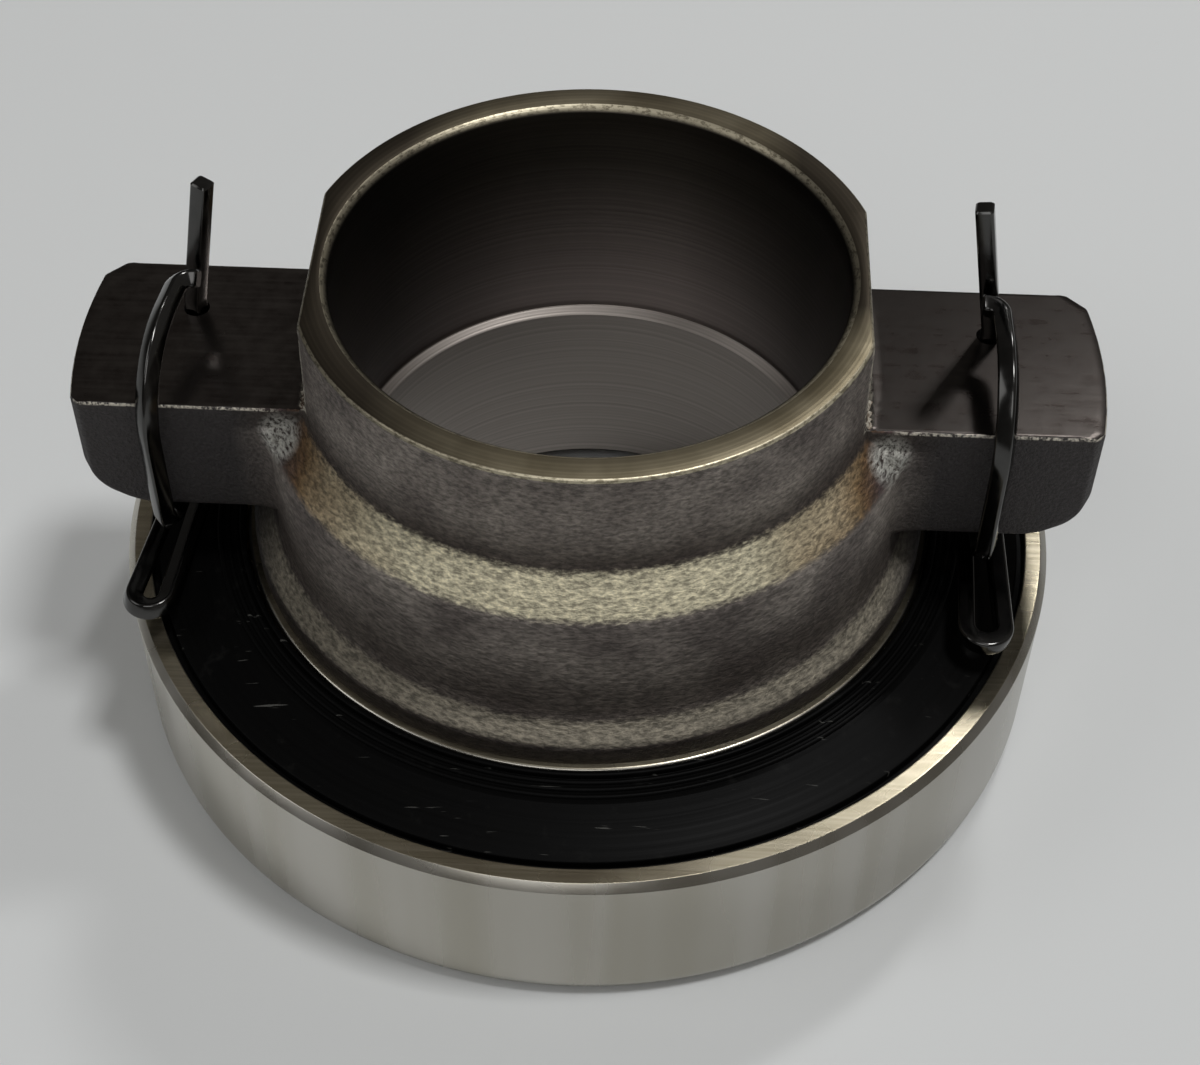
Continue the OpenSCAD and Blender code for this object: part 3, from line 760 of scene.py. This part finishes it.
scale = add(tree, "TexNoise", {"Vector": mm, "Scale": 1 / SCALE_MM, "Detail": 5.0, "Roughness": 0.6})
print("nodes so far:", len(tree.nodes))

# %% [markdown]
# Upright walls are dull, and painted shade darkens the feet of the neck and the collar, the corners where
# shade gathers. How far a face looks upwards, roughened by the grain, decides how bright it is painted: partly
# the blasted finish, partly painted light from above.

# %% Cast iron: walls
patch = add(tree, "MapRange", {0: blotch, 1: 0.35, 2: 0.65})
wall_tone = add(tree, "Mix", {0: patch, 6: "#665f5b", 7: "#8d867f"}, 2, data_type="RGBA")
# Painted shade: the feet of the neck and the collar are darkened, where shade gathers in the corners.
neck_foot_shade = add(tree, "MapRange", {0: at["Z"], 1: 41.5, 2: 37.6, 3: 0.0, 4: 0.85})
on_neck = add(tree, "MapRange", {0: at["Z"], 1: 35.0, 2: 36.0})
neck_foot_shade = add(tree, "Math", {0: neck_foot_shade, 1: on_neck}, operation="MULTIPLY")
collar_foot_shade = add(tree, "MapRange", {0: at["Z"], 1: 31.0, 2: 25.0, 3: 0.0, 4: 0.65})
foot_shade = add(tree, "Math", {0: neck_foot_shade, 1: collar_foot_shade}, operation="MAXIMUM")
wall_tone = add(tree, "Mix", {0: foot_shade, 6: wall_tone, 7: "#352d28"}, 2, data_type="RGBA")
# Partly painted light: faces that look upwards take the bright sandy slope tone, as if lit from above.
uneven = add(tree, "Math", {0: grain, 1: 0.35, 2: upward}, operation="MULTIPLY_ADD")
blasted_and_lit = add(tree, "MapRange", {0: uneven, 1: 0.56, 2: 0.84}, interpolation_type="SMOOTHSTEP")
print("nodes so far:", len(tree.nodes))

# %% [markdown]
# The upward slopes are sandy and painted bright, and heat has tinted them gold and then violet towards the
# lugs. The foot below is greyer, the flange's upright edge is painted dark as shade, the lugs are dark, and
# each lug's root has a bright blasted patch. The grain then lightens and darkens every tone, most of all on
# the slopes, where its bright specks are partly grain and partly painted glints.

# %% Cast iron: slopes and lugs
ROOT_PATCH = (27.3, 11.0, 35.6)

wavy = add(tree, "Math", {0: blotch, 1: 8.0, 2: sideways}, operation="MULTIPLY_ADD")
gold = add(tree, "MapRange", {0: wavy, 1: 19.0, 2: 29.0})
violet = add(tree, "MapRange", {0: wavy, 1: 28.0, 2: 31.0})
slope_tone = add(tree, "Mix", {0: gold, 6: "#c4bda4", 7: "#6e5433"}, 2, data_type="RGBA")
heat_tone = add(tree, "Mix", {0: violet, 6: slope_tone, 7: "#4c3f3e"}, 2, data_type="RGBA")
on_foot = add(tree, "MapRange", {0: at["Z"], 1: 30.0, 2: 24.0})
slope_tone = add(tree, "Mix", {0: on_foot, 6: heat_tone, 7: "#827c6f"}, 2, data_type="RGBA")
body_tone = add(tree, "Mix", {0: blasted_and_lit, 6: wall_tone, 7: slope_tone}, 2, data_type="RGBA")
# Painted shade: the flange's upright edge is darkened, where it lies in shade.
flange_shade = add(tree, "MapRange", {0: at["Z"], 1: 20.5, 2: 19.7})
body_tone = add(tree, "Mix", {0: flange_shade, 6: body_tone, 7: "#332d29"}, 2, data_type="RGBA")
on_lug = add(tree, "MapRange", {0: sideways, 1: 28.0, 2: 32.0})
lug_tone = add(tree, "Mix", {0: on_lug, 6: body_tone, 7: "#413e3e"}, 2, data_type="RGBA")
quadrant = add(tree, "VectorMath", {0: mm}, operation="ABSOLUTE")
from_root = add(tree, "VectorMath", {0: quadrant, 1: ROOT_PATCH}, "Value", operation="DISTANCE")
near_root = add(tree, "MapRange", {0: from_root, 1: 2.6, 2: 1.3})
ragged = add(tree, "MapRange", {0: grain, 1: 0.36, 2: 0.5})
root_top = add(tree, "Math", {0: near_root, 1: ragged}, operation="MULTIPLY")
cast_tone = add(tree, "Mix", {0: root_top, 6: lug_tone, 7: "#a9a8a2"}, 2, data_type="RGBA")
# Partly painted glints: the grain's bright specks lift the colour, most of all on the bright slopes.
sparkle = add(tree, "MapRange", {0: blasted_and_lit, 3: 0.5, 4: 0.58})
calm = add(tree, "MapRange", {0: on_lug, 3: 1.0, 4: 0.5})
sparkle = add(tree, "Math", {0: sparkle, 1: calm}, operation="MULTIPLY")
swing = add(tree, "MapRange", {0: grain, 1: 0.36, 2: 0.7, 3: -0.75, 4: 1.3})
glitter = add(tree, "Math", {0: swing, 1: sparkle, 2: 1.0}, operation="MULTIPLY_ADD")
cast_colour = add(tree, "VectorMath", {0: cast_tone, "Scale": glitter}, operation="SCALE")
print("nodes so far:", len(tree.nodes))

# %% [markdown]
# On the turned faces the upper bore is nearly black: painted shade darkens it most at its sides and towards
# its top, and painted light lightens it towards its foot. The guide bore below the step is greyer, and the rim
# is a warm brown grey, darker on its left, right and back.

# %% Cast iron: turned faces
guide = add(tree, "MapRange", {0: at["Z"], 1: LEDGE_Z + 0.8, 2: LEDGE_Z + 0.4})
rim = add(tree, "MapRange", {0: at["Z"], 1: RIM_Z - 0.5, 2: RIM_Z - 0.2})
# Painted light and shade: the upper bore darkens towards its top and its sides and lightens towards its foot.
bore_lit_below = add(tree, "MapRange", {0: at["Z"], 1: 42.0, 2: 24.0})
upper_tone = add(tree, "Mix", {0: bore_lit_below, 6: "#3a3630", 7: "#7d736f"}, 2, data_type="RGBA")
bore_side_shade = add(tree, "MapRange", {0: sideways, 1: 8.0, 2: 20.0, 3: 1.2, 4: 0.4})
upper_tone = add(tree, "VectorMath", {0: upper_tone, "Scale": bore_side_shade}, operation="SCALE")
bore_tone = add(tree, "Mix", {0: guide, 6: upper_tone, 7: "#948d87"}, 2, data_type="RGBA")
# The rim is made darker on its left, its right and its back.
rim_dark_left = add(tree, "MapRange", {0: at["X"], 1: -4.0, 2: -18.0})
rim_dark_right = add(tree, "MapRange", {0: at["X"], 1: 12.0, 2: 19.0})
behind = add(tree, "MapRange", {0: at["Y"], 1: -9.0, 2: -4.0})
rim_dark_right = add(tree, "Math", {0: rim_dark_right, 1: behind}, operation="MULTIPLY")
rim_dark_back = add(tree, "MapRange", {0: at["Y"], 1: 5.0, 2: 20.0, 3: 0.0, 4: 0.5})
rim_dark = add(tree, "Math", {0: rim_dark_left, 1: rim_dark_right}, operation="MAXIMUM")
rim_dark = add(tree, "Math", {0: rim_dark, 1: rim_dark_back}, operation="MAXIMUM")
rim_fresh = add(tree, "Mix", {0: patch, 6: "#6f6652", 7: "#928973"}, 2, data_type="RGBA")
rim_tone = add(tree, "Mix", {0: rim_dark, 6: rim_fresh, 7: "#3a342b"}, 2, data_type="RGBA")
lathe_tone = add(tree, "Mix", {0: rim, 6: bore_tone, 7: rim_tone}, 2, data_type="RGBA")
lathe_line = add(tree, "MapRange", {0: turning, 1: 0.3, 2: 0.7, 3: 0.88, 4: 1.12})
turned_colour = add(tree, "VectorMath", {0: lathe_tone, "Scale": lathe_line}, operation="SCALE")
print("nodes so far:", len(tree.nodes))

# %% [markdown]
# The rim's inner and outer edge carry a painted highlight, a broken bright line where the rounded edges catch
# the light, fainter where the rim is darker. The milled tops carry a dark oxide with a fine mottle, and
# painted shade darkens them towards the right, where more light falls on them.

# %% Cast iron: painted rim highlights and milled faces
# Painted highlight: the rim's rounded edges are lightened where they catch the light, less where it is darker.
tilted = add(tree, "MapRange", {0: upward, 1: 0.97, 2: 0.9})
rim_edge_glint = add(tree, "Math", {0: rim, 1: tilted}, operation="MULTIPLY")
glint_breaks = add(tree, "MapRange", {0: grain, 1: 0.38, 2: 0.52, 3: 0.25, 4: 1.0})
rim_edge_glint = add(tree, "Math", {0: rim_edge_glint, 1: glint_breaks}, operation="MULTIPLY")
glint_fade = add(tree, "MapRange", {0: rim_dark, 3: 1.0, 4: 0.35})
rim_edge_glint = add(tree, "Math", {0: rim_edge_glint, 1: glint_fade}, operation="MULTIPLY")
turned_colour = add(tree, "Mix", {0: rim_edge_glint, 6: turned_colour, 7: "#d6cdb4"}, 2, data_type="RGBA")
mill_line = add(tree, "MapRange", {0: milling, 1: 0.3, 2: 0.7})
scale_patch = add(tree, "Math", {0: mill_line, 1: 0.3, 2: scale}, operation="MULTIPLY_ADD")
scale_patch = add(tree, "MapRange", {0: scale_patch, 1: 0.28, 2: 1.0})
milled_colour = add(tree, "Mix", {0: scale_patch, 6: "#4a413d", 7: "#8f8883"}, 2, data_type="RGBA")
# Painted shade: the milled tone is darkened more towards the right, where more light falls on it.
painted_shade_right = add(tree, "MapRange", {0: at["X"], 1: -30.0, 2: 30.0, 3: 0.55, 4: 0.25})
milled_colour = add(tree, "VectorMath", {0: milled_colour, "Scale": painted_shade_right}, operation="SCALE")
colour = add(tree, "Mix", {0: turned_mark, 6: cast_colour, 7: turned_colour}, 2, data_type="RGBA")
colour = add(tree, "Mix", {0: milled_mark, 6: colour, 7: milled_colour}, 2, data_type="RGBA")
print("nodes so far:", len(tree.nodes))

# %% [markdown]
# A broken bright line is painted along each sharp edge as a painted highlight, where the edge catches the
# light: round the lug tops, up the edges of the flats, and along the foot of each flat. The edges of the clip
# holes are left out, because they lie in shade.

# %% Cast iron: bright edges
# Painted highlights: bright lines along the sharp edges of the lug tops and the flats.
lug_edge_glint = add(tree, "MapRange", {0: at["Z"], 1: LUG_TOP - 0.32, 2: LUG_TOP - 0.22})
below_top = add(tree, "MapRange", {0: upward, 1: 0.93, 2: 0.8})
past_neck = add(tree, "MapRange", {0: sideways, 1: 27.2, 2: 28.0})
lug_edge_glint = add(tree, "Math", {0: lug_edge_glint, 1: below_top}, operation="MULTIPLY")
lug_edge_glint = add(tree, "Math", {0: lug_edge_glint, 1: past_neck}, operation="MULTIPLY")
right_plan = add(tree, "CombineXYZ", {0: sideways, 1: at["Y"]})
hole_at = (CLIP_X, CLIP_Y, 0)
from_hole = add(tree, "VectorMath", {0: right_plan, 1: hole_at}, "Value", operation="DISTANCE")
off_hole = add(tree, "MapRange", {0: from_hole, 1: HOLE_R + 0.5, 2: HOLE_R + 0.9})
lug_edge_glint = add(tree, "Math", {0: lug_edge_glint, 1: off_hole}, operation="MULTIPLY")
flat_edge_glint = add(tree, "MapRange", {0: sideways, 1: FLAT_X - 0.3, 2: FLAT_X - 0.12})
round_edge = add(tree, "MapRange", {0: from_axis, 1: NECK_R - 0.3, 2: NECK_R - 0.1})
above_lug = add(tree, "MapRange", {0: at["Z"], 1: LUG_TOP + 0.8, 2: LUG_TOP + 1.4})
flat_edge_glint = add(tree, "Math", {0: flat_edge_glint, 1: round_edge}, operation="MULTIPLY")
flat_edge_glint = add(tree, "Math", {0: flat_edge_glint, 1: above_lug}, operation="MULTIPLY")
edge_glints = add(tree, "Math", {0: lug_edge_glint, 1: flat_edge_glint}, operation="MAXIMUM")
foot_low = add(tree, "MapRange", {0: at["Z"], 1: LUG_TOP + 0.02, 2: LUG_TOP + 0.1})
foot_high = add(tree, "MapRange", {0: at["Z"], 1: LUG_TOP + 0.9, 2: LUG_TOP + 0.5})
foot_out = add(tree, "MapRange", {0: sideways, 1: FLAT_X - 0.15, 2: FLAT_X - 0.05})
flat_foot_glint = add(tree, "Math", {0: foot_low, 1: foot_high}, operation="MULTIPLY")
flat_foot_glint = add(tree, "Math", {0: flat_foot_glint, 1: foot_out}, operation="MULTIPLY")
edge_glints = add(tree, "Math", {0: edge_glints, 1: flat_foot_glint}, operation="MAXIMUM")
broken_glint = add(tree, "MapRange", {0: grain, 1: 0.4, 2: 0.55})
edge_glints = add(tree, "Math", {0: edge_glints, 1: broken_glint}, operation="MULTIPLY")
colour = add(tree, "Mix", {0: edge_glints, 6: colour, 7: "#c9c3b6"}, 2, data_type="RGBA")
print("nodes so far:", len(tree.nodes))

# %% [markdown]
# Last come the depth of each pattern in millimetres, and how far the surface blurs what it mirrors: a lot on
# the casting, less on the lathe's rings, and least on the milled tops.

# %% Cast iron: relief and shine
GRAIN_DEPTH = 0.24
TURNING_DEPTH = 0.012
SCALE_DEPTH = 0.008

grain_depth = add(tree, "Math", {0: grain, 1: GRAIN_DEPTH}, operation="MULTIPLY")
turning_depth = add(tree, "Math", {0: turning, 1: TURNING_DEPTH}, operation="MULTIPLY")
milling_depth = add(tree, "Math", {0: scale, 1: SCALE_DEPTH}, operation="MULTIPLY")
depth = add(tree, "Mix", {0: turned_mark, 2: grain_depth, 3: turning_depth}, data_type="FLOAT")
depth = add(tree, "Mix", {0: milled_mark, 2: depth, 3: milling_depth}, data_type="FLOAT")
relief = add(tree, "Bump", {"Height": depth, "Distance": MM})
machined = add(tree, "Math", {0: turned_mark, 1: milled_mark}, operation="ADD")
rough = add(tree, "MapRange", {0: machined, 3: 0.62, 4: 0.42})
scale_blur = add(tree, "MapRange", {0: scale_patch, 3: 0.3, 4: 0.2})
rough = add(tree, "Mix", {0: milled_mark, 2: rough, 3: scale_blur}, data_type="FLOAT")
metal = add(tree, "MapRange", {0: turned_mark, 3: 0.55, 4: 0.9})
metal = add(tree, "Mix", {0: milled_mark, 2: metal, 3: 1.0}, data_type="FLOAT")
tree.links.new(colour, shader.inputs["Base Color"])
tree.links.new(metal, shader.inputs["Metallic"])
tree.links.new(rough, shader.inputs["Roughness"])
tree.links.new(relief, shader.inputs["Normal"])
wear(iron, hub)
print(iron.name, "nodes:", len(tree.nodes))

# %% [markdown]
# ### Ground steel
# The rings are hardened steel. The outside is ground round, and its lines are too fine to see, so it blurs
# what it mirrors and shows soft bands that run up and down. The top face is ground flat in one pass, with
# straight lines along X that flash where they lie across the light, and the contact face below is ground in
# rings. Real grinding lines are finer still: these are drawn as coarse as they need to show.

# %% Ground steel: sides and top face
FACE_LINE_MM = 0.35
BAND_MM = 7.0

steel, tree, shader, mm = new_material("ground_bearing_steel")
upward = add(tree, "SeparateXYZ", {0: add(tree, "TexCoord", {}, "Normal")}, "Z")
on_top = add(tree, "MapRange", {0: upward, 1: 0.9, 2: 0.98})
line_place = add(tree, "VectorMath", {0: mm, 1: (0.02, 1, 0)}, operation="MULTIPLY")
lines = add(tree, "TexNoise", {"Vector": line_place, "Scale": 1 / FACE_LINE_MM, "Detail": 3.0})
band_place = add(tree, "VectorMath", {0: mm, 1: (1, 1, 0.05)}, operation="MULTIPLY")
bands = add(tree, "TexNoise", {"Vector": band_place, "Scale": 1 / BAND_MM, "Detail": 2.0})
band = add(tree, "MapRange", {0: bands, 1: 0.25, 2: 0.75}, interpolation_type="SMOOTHERSTEP")
line = add(tree, "MapRange", {0: lines, 1: 0.35, 2: 0.65})
side_tone = add(tree, "Mix", {0: band, 6: "#a39f94", 7: "#b5b2ab"}, 2, data_type="RGBA")
face_tone = add(tree, "Mix", {0: line, 6: "#9c947f", 7: "#b0a894"}, 2, data_type="RGBA")
across = add(tree, "SeparateXYZ", {0: mm}, "X")
# Painted light and shade: the top face is darkened towards the right, where more light falls on it, and the
# whole ring is lightened towards its shaded left and darkened towards the right.
right_face_shade = add(tree, "MapRange", {0: across, 1: 0.0, 2: 42.0, 3: 1.08, 4: 0.72})
face_tone = add(tree, "VectorMath", {0: face_tone, "Scale": right_face_shade}, operation="SCALE")
colour = add(tree, "Mix", {0: on_top, 6: side_tone, 7: face_tone}, 2, data_type="RGBA")
side_light_and_grease_film = add(tree, "MapRange", {0: across, 1: -40.0, 2: 40.0, 3: 1.38, 4: 0.85})
colour = add(tree, "VectorMath", {0: colour, "Scale": side_light_and_grease_film}, operation="SCALE")
print("nodes so far:", len(tree.nodes))

# %% Ground steel: contact face and relief
RING_LINE_MM = 0.5
LINE_DEPTH = 0.012

flat_place = add(tree, "VectorMath", {0: mm, 1: (1, 1, 0)}, operation="MULTIPLY")
from_axis = add(tree, "VectorMath", {0: flat_place}, "Value", operation="LENGTH")
ring_look = {"Scale": 1 / RING_LINE_MM, "Detail": 3.0}
rings = add(tree, "TexNoise", {"W": from_axis, **ring_look}, noise_dimensions="1D")
below = add(tree, "MapRange", {0: upward, 1: -0.9, 2: -0.98})
ring = add(tree, "MapRange", {0: rings, 1: 0.3, 2: 0.7})
contact_tone = add(tree, "Mix", {0: ring, 6: "#96928a", 7: "#aeaba4"}, 2, data_type="RGBA")
colour = add(tree, "Mix", {0: below, 6: colour, 7: contact_tone}, 2, data_type="RGBA")
line_depth = add(tree, "Math", {0: lines, 1: on_top}, operation="MULTIPLY")
ring_depth = add(tree, "Math", {0: rings, 1: below}, operation="MULTIPLY")
depth = add(tree, "Math", {0: line_depth, 1: ring_depth}, operation="ADD")
relief = add(tree, "Bump", {"Height": depth, "Distance": LINE_DEPTH * MM})
rough = add(tree, "MapRange", {0: band, 3: 0.24, 4: 0.31})
tree.links.new(colour, shader.inputs["Base Color"])
tree.links.new(rough, shader.inputs["Roughness"])
tree.links.new(relief, shader.inputs["Normal"])
shader.inputs["Metallic"].default_value = 1.0
wear(steel, outer_ring, inner_ring)
print(steel.name, "nodes:", len(tree.nodes))

# %% [markdown]
# ### Rubber
# The seal's rubber is black and satin, with faint rings from its mould and a few pale scuffs from handling.

# %% Rubber
MOULD_RING_MM = 0.6
SCUFF_MM = 2.5
SCRATCH_MM = 0.5
RING_DEPTH = 0.015

rubber, tree, shader, mm = new_material("nitrile_rubber")
flat_place = add(tree, "VectorMath", {0: mm, 1: (1, 1, 0)}, operation="MULTIPLY")
from_axis = add(tree, "VectorMath", {0: flat_place}, "Value", operation="LENGTH")
ring_look = {"Scale": 1 / MOULD_RING_MM, "Detail": 2.0}
rings = add(tree, "TexNoise", {"W": from_axis, **ring_look}, noise_dimensions="1D")
scuffs = add(tree, "TexNoise", {"Vector": mm, "Scale": 1 / SCUFF_MM, "Detail": 6.0, "Roughness": 0.7})
scuff = add(tree, "MapRange", {0: scuffs, 1: 0.58, 2: 0.8})
colour = add(tree, "Mix", {0: scuff, 6: "#060606", 7: "#181817"}, 2, data_type="RGBA")
scratch_place = add(tree, "VectorMath", {0: mm, 1: (0.12, 1.6, 0.5)}, operation="MULTIPLY")
scratches = add(tree, "TexNoise", {"Vector": scratch_place, "Scale": 1 / SCRATCH_MM, "Detail": 2.0})
scratch = add(tree, "MapRange", {0: scratches, 1: 0.72, 2: 0.76})
colour = add(tree, "Mix", {0: scratch, 6: colour, 7: "#4c4c49"}, 2, data_type="RGBA")
rough = add(tree, "MapRange", {0: rings, 1: 0.3, 2: 0.7, 3: 0.4, 4: 0.5})
relief = add(tree, "Bump", {"Height": rings, "Distance": RING_DEPTH * MM})
tree.links.new(colour, shader.inputs["Base Color"])
tree.links.new(rough, shader.inputs["Roughness"])
tree.links.new(relief, shader.inputs["Normal"])
shader.inputs["Specular IOR Level"].default_value = 0.06
wear(rubber, seal_upper, seal_lower)
print(rubber.name, "nodes:", len(tree.nodes))

# %% [markdown]
# ### Spring wire
# The wire is drawn square and blackened: a thin dark oxide over smooth steel, so that it mirrors less than a
# tenth of what it faces. Faces towards the pale floor look grey, faces towards the dim room black, and a lamp
# shows as a short white bar. A slight mottle keeps the bars from looking printed.

# %% Spring wire
MOTTLE_MM = 1.2

wire, tree, shader, mm = new_material("blackened_spring_steel")
mottle = add(tree, "TexNoise", {"Vector": mm, "Scale": 1 / MOTTLE_MM, "Detail": 4.0})
colour = add(tree, "Mix", {0: mottle, 6: "#434342", 7: "#545352"}, 2, data_type="RGBA")
rough = add(tree, "MapRange", {0: mottle, 1: 0.3, 2: 0.7, 3: 0.12, 4: 0.2})
tree.links.new(colour, shader.inputs["Base Color"])
tree.links.new(rough, shader.inputs["Roughness"])
shader.inputs["Metallic"].default_value = 1.0
wear(wire, clip_right, clip_left)
print(wire.name, "nodes:", len(tree.nodes))

# %% [markdown]
# ### Cage and balls
# Both stay hidden behind the seals and keep the solids' own meshes: the cage is pale polyamide with a hint
# of its glass fibres, and the balls are polished steel under a thin film of grease.

# %% Cage and balls
FIBRE_MM = 0.5
FILM_MM = 3.0

polyamide, tree, shader, mm = new_material("glass_filled_polyamide")
fibre = add(tree, "TexNoise", {"Vector": mm, "Scale": 1 / FIBRE_MM, "Detail": 4.0})
colour = add(tree, "Mix", {0: fibre, 6: "#c4b088", 7: "#efe0bd"}, 2, data_type="RGBA")
tree.links.new(colour, shader.inputs["Base Color"])
wear(polyamide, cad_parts["cage"])

ball_steel, tree, shader, mm = new_material("polished_ball_steel")
side_light_and_grease_film = add(tree, "TexNoise", {"Vector": mm, "Scale": 1 / FILM_MM, "Detail": 3.0})
rough = add(tree, "MapRange", {0: side_light_and_grease_film, 3: 0.05, 4: 0.14})
tree.links.new(rough, shader.inputs["Roughness"])
shader.inputs["Base Color"].default_value = linear("#d8d8d6")
shader.inputs["Metallic"].default_value = 1.0
balls = [piece for name, piece in sorted(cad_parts.items()) if name.startswith("ball_")]
wear(ball_steel, *balls)
print("materials:", len(bpy.data.materials), "balls:", len(balls))

# %% [markdown]
# ## Floor and light
# The part stands on a plain pale floor in a dim room. A lamp hangs high above it on the right, weak windows
# stand in front and on the left, and a small lamp behind gives the right lug's top a sheen, which the clip's
# leg breaks. The world gives the dim fill, brighter towards the right.

# %% Make the floor and the room
floor_mesh = bpy.data.meshes.new("floor")
floor_mesh.from_pydata([(-2, -2, 0), (2, -2, 0), (2, 2, 0), (-2, 2, 0)], [], [(0, 1, 2, 3)])
floor = bpy.data.objects.new("floor", floor_mesh)
bpy.context.scene.collection.objects.link(floor)
floor_paint, tree, shader, mm = new_material("matt_pale_paint")
shader.inputs["Base Color"].default_value = linear("#dddfdf")
shader.inputs["Roughness"].default_value = 0.9
wear(floor_paint, floor)

world = bpy.data.worlds.new("dim_room")
bpy.context.scene.world = world
world.use_nodes = True
tree = world.node_tree
way = add(tree, "SeparateXYZ", {0: add(tree, "TexCoord", {}, "Generated")}, "X")
room = add(tree, "MapRange", {0: way, 1: -0.8, 2: 0.8, 3: 0.2, 4: 0.6})
tree.links.new(room, tree.nodes["Background"].inputs["Strength"])
tree.nodes["Background"].inputs["Color"].default_value = linear("#8d8a86")
print("floor:", floor.name, "world:", world.name)

# %% Hang the lamps
LAMP_AIM = Vector((0, 0, 0.03))


def lamp(name, place, size, watts):
    """A square lamp at place, in metres, aimed at the hub's middle."""
    light = bpy.data.objects.new(name, bpy.data.lights.new(name, "AREA"))
    light.data.size = size
    light.data.energy = watts
    light.location = place
    light.rotation_euler = (LAMP_AIM - Vector(place)).to_track_quat("-Z", "Y").to_euler()
    bpy.context.scene.collection.objects.link(light)
    print(name, "at", place)


lamp("ceiling lamp", (0.32, -0.06, 1.08), 0.20, 4.6)
lamp("front window", (-0.10, -0.56, 0.66), 0.40, 0.9)
lamp("left window", (-0.62, -0.16, 0.55), 0.40, 0.7)
lamp("back lamp", (0.19, 0.36, 0.54), 0.07, 0.8)
bpy.context.scene.view_settings.view_transform = "Standard"
